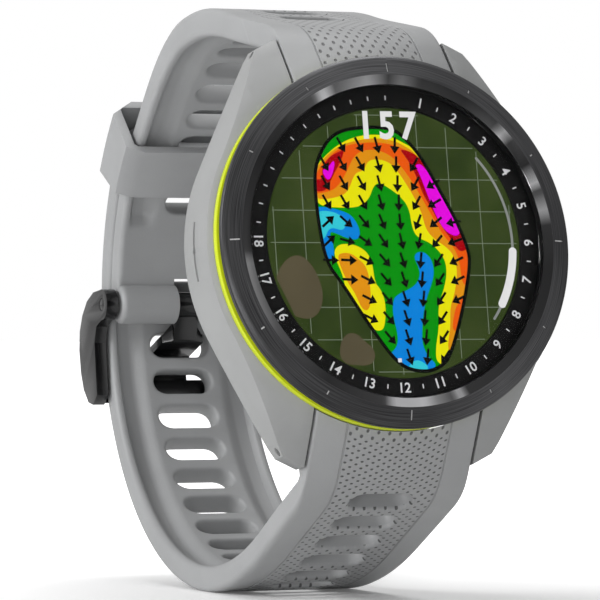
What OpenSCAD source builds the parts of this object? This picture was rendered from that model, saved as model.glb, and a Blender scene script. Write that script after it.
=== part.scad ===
// Golf GPS watch on a buckled silicone band.
// Every piece is drawn lying flat: X to 3 o'clock, Y to 12 o'clock, Z out of the dial,
// with the origin at the middle of the rear sensor face. stand() then raises the whole
// watch onto its band, dial leaning back, as it stands on a table.

/* [Stand] */
// How far the dial leans back when the watch stands on its band, degrees
lean = 10; // [6:0.5:14]

/* [Case] */
// Diameter of the bezel
bezel_d = 42; // [40:0.5:46]
// Diameter of the clear lens
lens_d = 35.2; // [33:0.2:36]
// Diameter of the lit display
display_d = 30.4; // [27:0.2:31]
// Bore of the case that holds the works
cavity_d = 35.8; // [35:0.1:36.2]
// Height of the case rim above the rear sensor face
rim_z = 9.5; // [9.3:0.1:11]
// Thickness of the coloured accent ring
accent_t = 1; // [0.5:0.1:1.5]
// Thickness of the back cover
cover_t = 1.6; // [1.3:0.1:2]
// Width between the lugs, which is the band size
lug_gap = 20.5; // [18.5:0.5:22.5]
// How far the lug pins lie outside the bezel
pin_out = 1.4; // [0.8:0.1:2.4]

/* [Buttons] */
// Diameter of a button cap
button_d = 5; // [4:0.2:5.4]
// How far a cap stands out of the case
button_out = 1; // [0.6:0.1:1.4]
// Travel of a button
button_travel = 0.6; // [0.3:0.1:0.8]

/* [Band] */
// Width of the band at the buckle
band_w = 18.6; // [16.6:0.2:20]
// Thickness of the band
band_t = 3; // [2.4:0.1:3.4]
// How far the worn loop stands out beyond the lug pins
loop_out = 12; // [10.6:0.2:15]
// Distance from one band slot to the next
slot_pitch = 5.1; // [4.6:0.05:6]
// Width of a band slot across the band
slot_w = 7.6; // [6.4:0.2:9]
// Height of a band slot along the band
slot_h = 3.3; // [3.1:0.1:3.6]
// Length of the keeper loop along the band
keeper_w = 8.6; // [6:0.2:10]

/* [Buckle] */
// Diameter of the buckle bar
bar_d = 1.5; // [1.3:0.1:1.8]
// Thickness of the buckle tang
tang_t = 1; // [0.8:0.1:1.2]
// Thickness of a buckle arm across the band
arm_t = 1.5; // [1.2:0.1:2]

/* [Hidden] */

$fn = 96;
fit = 0.05;               // running fit and seat clearance, each side
gap = 0.3;                // clearance between soft or moving pieces
big = 200;                // size of a cutting block

// Heights of the stack in the case, rear to front
window_t = 1.2;
cover_z = 0.8;
cover_top = cover_z + cover_t;
gasket_t = 0.4;
ledge_z = cover_top + 2 * fit + gasket_t;
accent_top = rim_z + accent_t;
gasket_top = accent_top + 0.6;
bezel_edge_z = gasket_top + 1;
bezel_top = bezel_edge_z + 0.95;
lens_t = 1.2;
lens_top = bezel_edge_z + 0.6;
lens_z = lens_top - lens_t;
ring_t = 0.45;
ring_z = lens_z - fit - ring_t;
panel_t = 1.15;
panel_z = lens_z - fit - panel_t;
frame_t = 0.65;
frame_z = panel_z - fit - frame_t;
shield_t = 1;
board_t = 0.8;
board_z = frame_z - fit - shield_t - fit - board_t;

// Radii of the case
bezel_r = bezel_d / 2;
lens_r = lens_d / 2;
display_r = display_d / 2;
cavity_r = cavity_d / 2;
case_r = bezel_r + 0.5;
crease_r = bezel_r + 1;
crease_z = rim_z - 0.7;
cover_r = cavity_r + 0.6;
window_r = 11.2;
opening_r = 8.6;
gap_r = bezel_r - 0.3;    // case wall between the lugs, and the band end that meets it
pin_y = bezel_r + pin_out;
lug_in = lug_gap / 2;
lug_tip_y = pin_y + 1.8;
lug_tip_r = sqrt(lug_in * lug_in + lug_tip_y * lug_tip_y);
lug_out = lug_in + 2.45;
lug_shoulder = lug_in + 3.15;

// Pins of the band
pin_z = 4.9;
tube_r = 0.9;
tube_bore = 0.62;
tip_r = 0.4;
tip_in = 1;
knuckle_r = 2.35;
latch_travel = 1.2;
band_end_w = lug_gap - 2 * gap;

// Screws, board and motor
screw_pcd = 32.4;
boss_r = 2;
screw_r = 0.6;
screw_head_r = 1.25;
battery_size = [20, 16.6, 4.4];
tray_wall = 0.85;

// Buttons at these angles above the 3 o'clock line
button_at = [32, 0, -32];
stem_r = 1;
bushing_r = 1.6;
button_z = 5.2;
pocket_floor = case_r - 1.3;
cap_inner = pocket_floor + button_travel + fit;
stem_end = 16.95;

// Loop of the band: a circle about the loop centre, in the Y-Z plane
loop_r = pin_y + loop_out;
loop_z = -24.5;
layer_gap = 0.5;
lower_in = loop_r - band_t;
upper_out = lower_in - layer_gap;
upper_t = band_t - 0.2;
upper_in = upper_out - upper_t;
crown_out = loop_r - 1.4;
keeper_wall = 1.2;
keeper_play = 0.5;
keeper_in = upper_in - keeper_play;
keeper_out = loop_r + keeper_play;
keeper_at = 45;
keeper_half = keeper_w / 2 / loop_r * 180 / PI;
tail_at = keeper_at - keeper_half + 1;
bar_at = 81.5;
roll_r = 2.4;
bar_r = bar_d / 2;
bar_loop = upper_out - roll_r - 0.06;
notch_w = 3.6;
tang_at = 90.6;
tang_w = 5.4;
shoulder_r = 48;
shoulder_a = 18;
slot_step = slot_pitch / loop_r * 180 / PI;
front_count = 6;
loop_count = floor((180 - tang_at) / slot_step);
// Where the row of slots leaves the loop circle and goes on along the straight stretch
front_first = slot_pitch * (1 + loop_count - (180 - tang_at) / slot_step);

// A point of the loop circle: radius r, angle a from the 12 o'clock side towards the back
function on_loop(r, a) = [r * cos(a), loop_z - r * sin(a)];

// Part of the loop circle as points
function loop_arc(r, a0, a1, n) =
    [for (i = [0:n]) on_loop(r, a0 + (a1 - a0) * i / n)];

// The band runs straight from the lug, over a gentle shoulder and into the loop circle.
// r is the loop radius that the shoulder joins, in is how far the line is set in.
function shoulder(r, in, n) =
    [for (i = [0:n]) let (a = shoulder_a * (1 - i / n))
        [r - shoulder_r + (shoulder_r - in) * cos(a), loop_z + (shoulder_r - in) * sin(a)]];

function line_from(p, len) =
    [p[0] - len * sin(shoulder_a), p[1] + len * cos(shoulder_a)];

// Ring whose radius slides from r0 to r1
function spiral(r0, r1, a0, a1, n) =
    [for (i = [0:n]) let (t = i / n, s = t * t * (3 - 2 * t))
        on_loop(r0 + (r1 - r0) * s, a0 + (a1 - a0) * t)];

module stand() rotate([90 - lean, 0, 0]) children();

// Side view of the band in Y-Z, made as wide as w about the middle plane
module side_block(w) rotate([90, 0, 90])
    translate([0, 0, -w / 2]) linear_extrude(height = w) children();

module ring(r0, r1, z0, z1) translate([0, 0, z0]) difference() {
    cylinder(r = r1, h = z1 - z0);
    translate([0, 0, -1]) cylinder(r = r0, h = z1 - z0 + 2);
}

module at_buttons() for (a = button_at) rotate([0, 0, a]) children();

// Cylinder along the X axis from x0 to x1
module rod_x(r, x0, x1) translate([x0, 0, 0]) rotate([0, 90, 0])
    cylinder(r = r, h = x1 - x0);

/* ---- case ---- */

// Outline of the case and its four lugs, seen from the front
function lug(mx, my) = [[mx * case_r * cos(23.8), my * case_r * sin(23.8)],
    [mx * lug_shoulder, my * (lug_tip_y - 2.4)], [mx * lug_out, my * (lug_tip_y - 1.2)],
    [mx * lug_in, my * lug_tip_y]];

module case_outline() {
    circle(r = case_r);
    polygon(concat(lug(1, 1), reversed(lug(-1, 1)), lug(-1, -1), reversed(lug(1, -1))));
}

// Turned envelope that gives case, lugs and band ends their sloping front facets
module front_envelope(bottom) rotate_extrude() polygon([
    [0, bottom], [40, bottom], [40, crease_z - 0.75 * (40 - crease_r)],
    [crease_r, crease_z], [bezel_r - 0.1, rim_z], [0, rim_z]]);

module rear_envelope() rotate_extrude() polygon([
    [0, cover_z], [cover_r + 0.5, cover_z], [case_r, 2.2], [lug_tip_r + 1, 3.4],
    [lug_tip_r + 1, 20], [0, 20]]);

module case_body() color([0.66, 0.66, 0.66]) stand() difference() {
    intersection() {
        translate([0, 0, cover_z]) linear_extrude(height = rim_z - cover_z) case_outline();
        front_envelope(-1);
        rear_envelope();
    }
    // works, back cover and its ledge
    difference() {
        translate([0, 0, ledge_z]) cylinder(r = cavity_r, h = 20);
        screw_posts();
    }
    translate([0, 0, -1]) cylinder(r = cover_r + fit, h = ledge_z + 1);
    for (a = [45:90:315]) rotate([0, 0, a]) translate([screw_pcd / 2, 0, ledge_z - 1])
        cylinder(r = screw_r + fit, h = 5);
    // gaps between the lugs, with the pin holes across them
    for (m = [0, 1]) mirror([0, m, 0]) {
        difference() {
            translate([-lug_in, 10, -1]) cube([lug_gap, 20, 20]);
            translate([0, 0, -2]) cylinder(r = gap_r, h = 30);
        }
        translate([0, pin_y, pin_z]) rod_x(tip_r + fit, -lug_in - 6, lug_in + 6);
    }
    // button pockets and bores
    at_buttons() translate([0, 0, button_z]) {
        rod_x(button_d / 2 + 0.15, pocket_floor, case_r + 3);
        rod_x(bushing_r, cavity_r - 2, pocket_floor + 1);
    }
    // pressure vent on the 9 o'clock side
    rotate([0, 0, 171]) translate([0, 0, button_z - 0.25]) rotate_extrude(angle = 18)
        translate([case_r - 0.5, 0]) square([1, 0.5]);
    rotate([0, 0, 180]) translate([0, 0, button_z]) rod_x(0.4, cavity_r - 2, case_r + 1);
}

module screw_posts() for (a = [45:90:315]) rotate([0, 0, a])
    translate([screw_pcd / 2, 0, ledge_z - 1]) cylinder(r = boss_r, h = 4.6);

module accent_ring() color([0.85, 0.95, 0.05]) stand()
    ring(cavity_r + 0.6, bezel_r - 0.1, rim_z, accent_top);

module bezel_gasket() color([0.05, 0.05, 0.05]) stand()
    ring(cavity_r + 0.6, bezel_r - 0.6, accent_top, gasket_top);

module bezel() color([0.3, 0.3, 0.32]) stand() rotate_extrude() polygon([
    [lens_r + fit, gasket_top], [bezel_r - 0.3, gasket_top], [bezel_r, gasket_top + 0.5],
    [bezel_r, bezel_edge_z], [bezel_r - 0.25, bezel_edge_z + 0.35],
    [lens_r + 0.8, bezel_top], [lens_r + fit, bezel_top - 0.3]]);

module lens() color([0.1, 0.1, 0.12, 0.35]) stand() translate([0, 0, lens_z])
    cylinder(r = lens_r, h = lens_t);

module number_ring() color([0.03, 0.03, 0.03]) stand()
    ring(display_r + 0.1, lens_r, ring_z, ring_z + ring_t);

module display_panel() color([0.15, 0.3, 0.1]) stand() translate([0, 0, panel_z])
    cylinder(r = display_r, h = panel_t);

// Shallow cup that carries the panel and the number ring
module display_frame() color([0.2, 0.2, 0.2]) stand() difference() {
    translate([0, 0, frame_z]) cylinder(r = cavity_r - 0.1, h = ring_z - fit - frame_z);
    translate([0, 0, frame_z + frame_t]) cylinder(r = display_r + 0.1, h = 5);
}

/* ---- works ---- */

module main_board() color([0.05, 0.3, 0.15]) stand() translate([0, 0, board_z]) difference() {
    cylinder(r = cavity_r - 1.2, h = board_t);
    translate([0, cavity_r - 1.4, -1]) cylinder(r = 1.5, h = 5);
}

module board_shields() color([0.75, 0.75, 0.75]) stand()
    for (p = [[-12, -8, 11, 9], [1, -9, 10, 12], [-11, 3, 14, 8]])
        translate([p[0], p[1], board_z + board_t + fit]) cube([p[2], p[3], shield_t - fit]);

// Arc of antenna along the wall at 12 o'clock
module gps_antenna() color([0.8, 0.6, 0.2]) stand() rotate([0, 0, 30])
    translate([0, 0, board_z - 0.6]) rotate_extrude(angle = 120)
        translate([cavity_r - 1, 0]) square([0.8, 2.3]);

module battery() color([0.7, 0.7, 0.75]) stand()
    translate([-battery_size[0] / 2, -battery_size[1] / 2, cover_top + 0.8]) cube(battery_size);

module battery_tray() color([0.15, 0.15, 0.15]) stand() difference() {
    translate([-battery_size[0] / 2 - tray_wall - fit, -battery_size[1] / 2 - tray_wall - fit,
        cover_top + fit]) cube([battery_size[0] + 2 * (tray_wall + fit),
        battery_size[1] + 2 * (tray_wall + fit), 2.8]);
    translate([-battery_size[0] / 2 - fit, -battery_size[1] / 2 - fit, cover_top + 0.75])
        cube([battery_size[0] + 2 * fit, battery_size[1] + 2 * fit, 5]);
}

module vibration_motor() color([0.6, 0.6, 0.62]) stand()
    translate([0, 13.1, board_z - fit - 2.6]) cylinder(r = 3.4, h = 2.6);

module pressure_sensor() color([0.8, 0.8, 0.8]) stand()
    translate([-14.6, 0, board_z - fit - 1.4]) cylinder(r = 1.5, h = 1.4);

module back_cover_gasket() color([0.1, 0.1, 0.1]) stand()
    ring(cavity_r + 0.05, cover_r, cover_top + fit, cover_top + fit + gasket_t);

module back_cover() color([0.12, 0.12, 0.13]) stand() difference() {
    translate([0, 0, cover_z]) cylinder(r = cover_r, h = cover_t);
    translate([0, 0, -1]) cylinder(r = window_r + fit, h = window_t + 1);
    translate([0, 0, 0]) cylinder(r = opening_r, h = 5);
    for (a = [45:90:315]) rotate([0, 0, a]) translate([screw_pcd / 2, 0, 0]) {
        cylinder(r = screw_r + 0.1, h = 5);
        cylinder(r = screw_head_r + 0.1, h = cover_z + 0.75);
    }
    translate([-4.3, -15.6, 0]) cube([8.6, 3.4, 5]);
}

module back_cover_screws() color([0.7, 0.7, 0.72]) stand()
    for (a = [45:90:315]) rotate([0, 0, a]) translate([screw_pcd / 2, 0, 0]) difference() {
        union() {
            translate([0, 0, cover_z + 0.05]) cylinder(r = screw_head_r, h = 0.7);
            translate([0, 0, cover_z + 0.5]) cylinder(r = screw_r, h = 4);
        }
        translate([-0.9, -0.2, cover_z]) cube([1.8, 0.4, 0.35]);
        translate([-0.2, -0.9, cover_z]) cube([0.4, 1.8, 0.35]);
    }

module sensor_window() color([0.04, 0.04, 0.05]) stand() rotate_extrude() polygon([
    [0, 0], [window_r - 1.6, 0], [window_r, 0.5], [window_r, window_t - fit], [0, window_t - fit]]);

// Round board with three lamps and four light sensors behind the window
module optical_sensor() color([0.1, 0.35, 0.2]) stand() {
    translate([0, 0, window_t + 0.6]) cylinder(r = opening_r - 0.2, h = 0.6);
    for (a = [0:60:300]) rotate([0, 0, a]) translate([4.4, -0.8, window_t + 0.05])
        cube([1.6, 1.6, 0.55]);
}

// Charging socket: a plastic block with a pocket open to the rear
module charging_socket() color([0.08, 0.08, 0.08]) stand() difference() {
    translate([-4.25, -15.55, cover_z]) cube([8.5, 3.3, 2.4]);
    translate([-3.6, -15, cover_z - 1]) cube([7.2, 2.2, 2.4]);
    for (i = [-1.5:1:1.5]) translate([i * 1.7, -13.9, cover_z]) cylinder(r = 0.35, h = 5);
}

module charging_contacts() color([0.85, 0.7, 0.3]) stand()
    for (i = [-1.5:1:1.5]) translate([i * 1.7, -13.9, cover_z + 0.5]) cylinder(r = 0.35, h = 2.3);

/* ---- buttons ---- */

module button(a) color([0.3, 0.3, 0.32]) stand() rotate([0, 0, a]) translate([0, 0, button_z]) {
    rod_x(stem_r, stem_end, cap_inner + 0.1);
    rotate([0, 90, 0]) rotate_extrude() polygon([
        [0, cap_inner], [button_d / 2, cap_inner], [button_d / 2, case_r + button_out - 0.35],
        [button_d / 2 - 0.35, case_r + button_out], [0, case_r + button_out - 0.1]]);
}

module button_clip(a) color([0.6, 0.6, 0.6]) stand() rotate([0, 0, a])
    translate([0, 0, button_z]) difference() {
        rod_x(1.5, stem_end + 0.2, stem_end + 0.5);
        rod_x(stem_r, stem_end, stem_end + 1);
    }

module button_bushings() color([0.7, 0.7, 0.72]) stand() at_buttons()
    translate([0, 0, button_z]) difference() {
        rod_x(bushing_r, cavity_r - 0.2, pocket_floor);
        rod_x(stem_r + fit, cavity_r - 2, pocket_floor + 2);
        rod_x(stem_r + 0.35, pocket_floor - 0.8, pocket_floor + 1);
    }

module button_seals() color([0.1, 0.1, 0.1]) stand() at_buttons()
    translate([0, 0, button_z]) difference() {
        rod_x(stem_r + 0.35, pocket_floor - 0.8, pocket_floor);
        rod_x(stem_r + 0.03, pocket_floor - 2, pocket_floor + 2);
    }

module button_switches() color([0.8, 0.8, 0.75]) stand() at_buttons()
    translate([0, 0, button_z])
    rod_x(1.5, stem_end - button_travel - 0.75, stem_end - button_travel - fit);

module button_flex() color([0.75, 0.45, 0.1]) stand() rotate([0, 0, -36])
    translate([0, 0, 3.5]) rotate_extrude(angle = 72)
        translate([stem_end - button_travel - 1.35, 0]) square([0.35, board_z - 3.6]);

/* ---- band ---- */

// Plan of the band: full width between the lugs, tapering towards the back of the loop
module band_plan(w0) rotate([90, 0, 0]) translate([0, 0, -big / 2])
    linear_extrude(height = big) polygon([
        [-w0 / 2, 20], [w0 / 2, 20], [w0 / 2, -2], [band_w / 2, -30], [band_w / 2, -100],
        [-band_w / 2, -100], [-band_w / 2, -30], [-w0 / 2, -2]]);

// Side view of the block between the lugs: its outer corner points, then its inner ones,
// which run round the pin
function head_out(r) = let (p = shoulder(r, 0, 1)[0])
    [[gap_r - 3, 10.5], [pin_y + 3.5, 10.5], line_from(p, (pin_z - p[1]) / cos(shoulder_a) + 1)];
function head_in(r) = let (q = shoulder(r, band_t, 1)[0]) concat(
    [line_from(q, (pin_z - knuckle_r - q[1]) / cos(shoulder_a))],
    [for (b = [-60:-15:-180]) [pin_y + knuckle_r * cos(b), pin_z + knuckle_r * sin(b)]],
    [[gap_r - 3, pin_z]]);
function reversed(list) = [for (i = [len(list) - 1:-1:0]) list[i]];

// Round the buckle bar, from the outer face of the band to where its inner face starts again
function roll_points(n) = let (c = on_loop(bar_loop, bar_at),
    turn = 360 - acos((upper_in - bar_loop) / roll_r))
    [for (i = [0:n]) let (a = -bar_at - turn * i / n)
        [c[0] + roll_r * cos(a), c[1] + roll_r * sin(a)]];

module upper_profile() polygon(concat(head_out(crown_out), shoulder(crown_out, 0, 8),
    spiral(crown_out, upper_out, 0, 36, 16), loop_arc(upper_out, 38, bar_at - 2, 21),
    roll_points(24), loop_arc(upper_in, bar_at - 5, 38, 20),
    spiral(upper_in, crown_out - band_t, 36, 0, 16),
    reversed(shoulder(crown_out, band_t, 8)), head_in(crown_out)));

module lower_profile() polygon(concat(head_out(loop_r), shoulder(loop_r, 0, 8),
    loop_arc(loop_r, 0, 180 - tail_at, 64), loop_arc(lower_in, 180 - tail_at, 0, 64),
    reversed(shoulder(loop_r, band_t, 8)), head_in(loop_r)));

// Round-ended slot through the band, cut towards +Z of its own frame
module slot_cut() linear_extrude(height = 8, center = true) {
    square([slot_w - slot_h, slot_h], center = true);
    for (m = [-1, 1]) translate([m * (slot_w - slot_h) / 2, 0]) circle(r = slot_h / 2, $fn = 32);
}

module loop_slot(r, a) translate([0, on_loop(r, a)[0], on_loop(r, a)[1]])
    rotate([-90 - a, 0, 0]) slot_cut();

// Slots on the stretch between the loop circle and the lug, the first one s0 along it
module front_slots(r, s0, count) for (i = [0:count - 1]) let (
    arc = shoulder_r * shoulder_a * PI / 180,
    s = s0 + i * slot_pitch,
    a = min(s, arc) / shoulder_r * 180 / PI,
    over = max(s - arc, 0),
    m = shoulder_r - band_t / 2,
    y = r - shoulder_r + m * cos(a) - over * sin(a),
    z = loop_z + m * sin(a) + over * cos(a))
    translate([0, y, z]) rotate([a - 90, 0, 0]) slot_cut();

// Pocket on the inner side for the release latch, and the slot that its post runs in
module latch_pocket() translate([0, pin_y, pin_z]) {
    translate([-8.2, -1.1, -4]) cube([2 + latch_travel + 0.4, 2.2, 4]);
}

module band_end_cuts() {
    translate([0, 0, -10]) cylinder(r = gap_r + 0.25, h = 30);
    translate([0, pin_y, pin_z]) rod_x(tube_r + fit, -15, 15);
    latch_pocket();
}

module upper_strap() color([0.6, 0.6, 0.6]) stand() difference() {
    intersection() {
        side_block(30) upper_profile();
        band_plan(band_end_w);
        front_envelope(-big);
    }
    band_end_cuts();
    front_slots(crown_out, front_first, 4);
    for (i = [0:6]) loop_slot(crown_out - 2, (i + 1) * slot_step - front_first / loop_r * 180 / PI);
    translate([0, on_loop(bar_loop, bar_at)[0], on_loop(bar_loop, bar_at)[1]]) {
        rod_x(bar_r + fit, -15, 15);
        rotate([-bar_at, 0, 0]) translate([-notch_w / 2, -3.2, -6]) cube([notch_w, 12, 9.4]);
    }
}

module lower_strap() color([0.6, 0.6, 0.6]) stand() mirror([0, 1, 0]) difference() {
    intersection() {
        side_block(30) lower_profile();
        band_plan(band_end_w);
        front_envelope(-big);
    }
    band_end_cuts();
    for (i = [-4:loop_count]) loop_slot(loop_r - band_t / 2, 180 - tang_at - i * slot_step);
    front_slots(loop_r, front_first, front_count);
}

// Spring bar: a tube with one fixed tip; the other tip belongs to the latch
module spring_bar() translate([0, pin_y, pin_z]) difference() {
    union() {
        rod_x(tube_r, -band_end_w / 2 + fit, band_end_w / 2 - fit);
        rod_x(tip_r, band_end_w / 2 - 0.5, lug_in + tip_in);
    }
    rod_x(tube_bore, -15, 2);
    translate([-8.2, -0.5, -3]) cube([2 + latch_travel + 0.4, 1, 3]);
}

module release_latch() translate([0, pin_y, pin_z]) {
    rod_x(tube_bore - fit, -band_end_w / 2 + latch_travel, -3.5);
    rod_x(tip_r, -lug_in - tip_in, -band_end_w / 2 + latch_travel + 0.5);
    translate([-7.9, -0.4, -3.1]) cube([1.4, 0.8, 3.1]);
    translate([-8.1, -0.9, -3.5]) cube([1.8, 1.8, 0.6]);
}

// Coil spring along X as a swept tube
module coil(r, wire, len, turns) {
    n = turns * 12;
    sides = 6;
    pts = [for (i = [0:n], j = [0:sides - 1]) let (a = i * 30, b = j * 60, q = r + wire * cos(b))
        [len * i / n + wire * sin(b), q * cos(a), q * sin(a)]];
    faces = concat([[for (j = [0:sides - 1]) sides - 1 - j]], [[for (j = [0:sides - 1]) n * sides + j]],
        [for (i = [0:n - 1], j = [0:sides - 1]) let (k = (j + 1) % sides)
            [i * sides + j, i * sides + k, (i + 1) * sides + k, (i + 1) * sides + j]]);
    polyhedron(points = pts, faces = faces, convexity = 10);
}

module latch_spring() translate([-3.4, pin_y, pin_z]) coil(0.42, 0.12, 5.2, 8);

module upper_spring_bar() color([0.75, 0.75, 0.77]) stand() spring_bar();
module upper_release_latch() color([0.75, 0.75, 0.77]) stand() release_latch();
module upper_latch_spring() color([0.8, 0.8, 0.8]) stand() latch_spring();
module lower_spring_bar() color([0.75, 0.75, 0.77]) stand() mirror([0, 1, 0]) spring_bar();
module lower_release_latch() color([0.75, 0.75, 0.77]) stand() mirror([0, 1, 0]) release_latch();
module lower_latch_spring() color([0.8, 0.8, 0.8]) stand() mirror([0, 1, 0]) latch_spring();

/* ---- keeper and buckle ---- */

// Cross-section of the keeper: how far out of the loop centre, and across the band
module keeper_section() {
    h = band_w / 2 + keeper_play;
    r0 = keeper_in - keeper_wall;
    r1 = keeper_out + keeper_wall;
    c = 0.4;
    difference() {
        polygon([[r0, -h + 1], [r0 + 1.1, -h - keeper_wall], [r1 - 2.4, -h - keeper_wall],
            [r1, -h + 1.8], [r1, h - 1.8], [r1 - 2.4, h + keeper_wall],
            [r0 + 1.1, h + keeper_wall], [r0, h - 1]]);
        polygon([[keeper_in, -h + c], [keeper_in + c, -h], [keeper_out - c, -h],
            [keeper_out, -h + c], [keeper_out, h - c], [keeper_out - c, h],
            [keeper_in + c, h], [keeper_in, h - c]]);
    }
}

// The section is turned about the loop centre, so it slides along the band
module keeper() color([0.6, 0.6, 0.6]) stand() translate([0, 0, loop_z])
    rotate([-keeper_at - keeper_half, 0, 0]) rotate([0, 0, 90]) rotate([90, 0, 0])
        rotate_extrude(angle = 2 * keeper_half) keeper_section();

module at_bar() translate([0, on_loop(bar_loop, bar_at)[0], on_loop(bar_loop, bar_at)[1]]) children();

module buckle_bar() color([0.1, 0.1, 0.11]) stand() at_bar()
    rod_x(bar_r, -band_w / 2 - 0.45 - arm_t, band_w / 2 + 0.45 + arm_t);

// Side view of one arm of the D-shaped frame
module arm_profile() difference() {
    union() {
        polygon([on_loop(bar_loop + 0.6, bar_at - 3.6), on_loop(loop_r - 2.9, bar_at - 2.9),
            on_loop(loop_r - 0.6, bar_at - 0.9), on_loop(loop_r + 1.1, 83.4), on_loop(loop_r + 2.2, 86.4),
            on_loop(loop_r + 2.7, 90), on_loop(loop_r + 2.7, 94.5), on_loop(loop_r + 2.3, 98),
            on_loop(loop_r + 1.2, 101.2), on_loop(loop_r - 0.2, 102.6), on_loop(loop_r - 2, 101.6),
            on_loop(loop_r - 2.6, 96), on_loop(loop_r - 2.9, 90), on_loop(loop_r - 3.8, 86.5),
            on_loop(bar_loop, bar_at + 3.6)]);
        translate(on_loop(bar_loop, bar_at)) circle(r = 1.9, $fn = 48);
    }
}

module buckle_frame() color([0.08, 0.08, 0.09]) stand() difference() {
    union() {
        for (m = [0, 1]) mirror([m, 0, 0]) translate([band_w / 2 + 0.45 + arm_t / 2, 0, 0])
            side_block(arm_t) arm_profile();
        side_block(band_w + 1) polygon([on_loop(loop_r + 0.5, 97), on_loop(loop_r + 2.4, 96.6),
            on_loop(loop_r + 2.2, 98), on_loop(loop_r + 1.1, 101.2), on_loop(loop_r + 0.5, 101.8)]);
    }
    at_bar() rod_x(bar_r + fit, -20, 20);
}

// Bent plate: hooks the bar, passes steeply through a band slot and rests on the crossbar
module tang_profile() {
    t = tang_t / 2;
    line = [on_loop(bar_loop + 0.4, bar_at + 2), on_loop(lower_in - 1.4, tang_at - 1.3),
        on_loop(loop_r + 1.1, tang_at + 0.5), on_loop(loop_r + 3.0, tang_at + 3.8),
        on_loop(loop_r + 3.3, 98.6)];
    for (i = [0:3]) hull() {
        translate(line[i]) circle(r = t, $fn = 24);
        translate(line[i + 1]) circle(r = t, $fn = 24);
    }
    translate(on_loop(bar_loop, bar_at)) circle(r = bar_r + 0.8, $fn = 48);
}

module buckle_tang() color([0.1, 0.1, 0.11]) stand() difference() {
    intersection() {
        side_block(tang_w) tang_profile();
        rotate([90, 0, 0]) translate([0, 0, -big / 2]) linear_extrude(height = big) polygon([
            [-notch_w / 2 + 0.3, 0], [notch_w / 2 - 0.3, 0],
            [notch_w / 2 - 0.3, on_loop(bar_loop, bar_at)[1] - 1.6], [tang_w / 2, loop_z - lower_in + 1],
            [tang_w / 2, -100], [-tang_w / 2, -100], [-tang_w / 2, loop_z - lower_in + 1],
            [-notch_w / 2 + 0.3, on_loop(bar_loop, bar_at)[1] - 1.6]]);
    }
    at_bar() rod_x(bar_r + fit, -15, 15);
}

case_body();
accent_ring();
bezel_gasket();
bezel();
lens();
number_ring();
display_panel();
display_frame();
main_board();
board_shields();
gps_antenna();
battery();
battery_tray();
vibration_motor();
pressure_sensor();
back_cover_gasket();
back_cover();
back_cover_screws();
sensor_window();
optical_sensor();
charging_socket();
charging_contacts();
button(button_at[0]);  // button_top
button(button_at[1]);  // button_middle
button(button_at[2]);  // button_bottom
button_bushings();
button_seals();
button_clip(button_at[0]);  // button_clip_top
button_clip(button_at[1]);  // button_clip_middle
button_clip(button_at[2]);  // button_clip_bottom
button_switches();
button_flex();
upper_strap();
upper_spring_bar();
upper_release_latch();
upper_latch_spring();
lower_strap();
lower_spring_bar();
lower_release_latch();
lower_latch_spring();
keeper();
buckle_bar();
buckle_frame();
buckle_tang();
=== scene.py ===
# %% [markdown]
# # A golf watch standing on its buckled band
# The engineering model gives every piece its true size and place. This lesson keeps that
# frame and gives each visible piece the shape and finish a maker would give it: moulded
# silicone, brushed and polished steel, printed numbers and a lit map.
# All lengths below are in millimetres and are turned into metres in one place.

# %% Load the frame
import bpy, bmesh, math
from mathutils import Matrix, Vector


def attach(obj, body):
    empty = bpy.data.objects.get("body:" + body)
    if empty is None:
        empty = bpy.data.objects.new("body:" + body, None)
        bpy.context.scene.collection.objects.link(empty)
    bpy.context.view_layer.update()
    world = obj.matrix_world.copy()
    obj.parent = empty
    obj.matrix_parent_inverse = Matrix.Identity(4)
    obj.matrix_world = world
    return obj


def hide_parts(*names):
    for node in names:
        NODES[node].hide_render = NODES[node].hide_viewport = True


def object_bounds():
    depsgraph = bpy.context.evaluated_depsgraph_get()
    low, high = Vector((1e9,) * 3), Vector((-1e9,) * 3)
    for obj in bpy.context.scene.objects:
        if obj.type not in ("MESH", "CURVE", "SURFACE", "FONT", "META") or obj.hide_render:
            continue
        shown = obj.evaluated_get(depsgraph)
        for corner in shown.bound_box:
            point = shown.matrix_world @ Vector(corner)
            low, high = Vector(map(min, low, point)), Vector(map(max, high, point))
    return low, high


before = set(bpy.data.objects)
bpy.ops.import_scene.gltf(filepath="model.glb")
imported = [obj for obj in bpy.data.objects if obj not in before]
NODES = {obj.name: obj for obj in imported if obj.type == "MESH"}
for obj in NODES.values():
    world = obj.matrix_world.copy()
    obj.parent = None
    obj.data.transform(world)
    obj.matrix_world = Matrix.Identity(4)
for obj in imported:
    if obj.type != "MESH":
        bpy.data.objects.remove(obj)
cad_box = [list(corner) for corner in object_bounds()]
print("pieces in the frame:", len(NODES))

# %% [markdown]
# ## One drawing board
# A watch is easiest to draw lying on its back: X towards 3 o'clock, Y towards 12 o'clock and
# Z out of the dial. The model stands on its band, leaning back by 10 degrees, so each mesh is
# drawn lying down and then raised by one matrix. Drawing in the standing pose would work too,
# but every circle of the dial would then be tilted.

# %% The matrix that raises the watch
LEAN = math.radians(10)
MM = 0.001
STAND = Matrix.Rotation(math.pi / 2 - LEAN, 4, "X") @ Matrix.Scale(MM, 4)
DIAL_MIDDLE = STAND @ Vector((0, 0, 12.1))
print("middle of the dial stands at", [round(c, 4) for c in DIAL_MIDDLE])


def finish_mesh(mesh, crease=35):
    """Smooth shading, with edges sharper than crease degrees kept sharp."""
    mesh.polygons.foreach_set("use_smooth", [True] * len(mesh.polygons))
    mesh.set_sharp_from_angle(angle=math.radians(crease))


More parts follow.
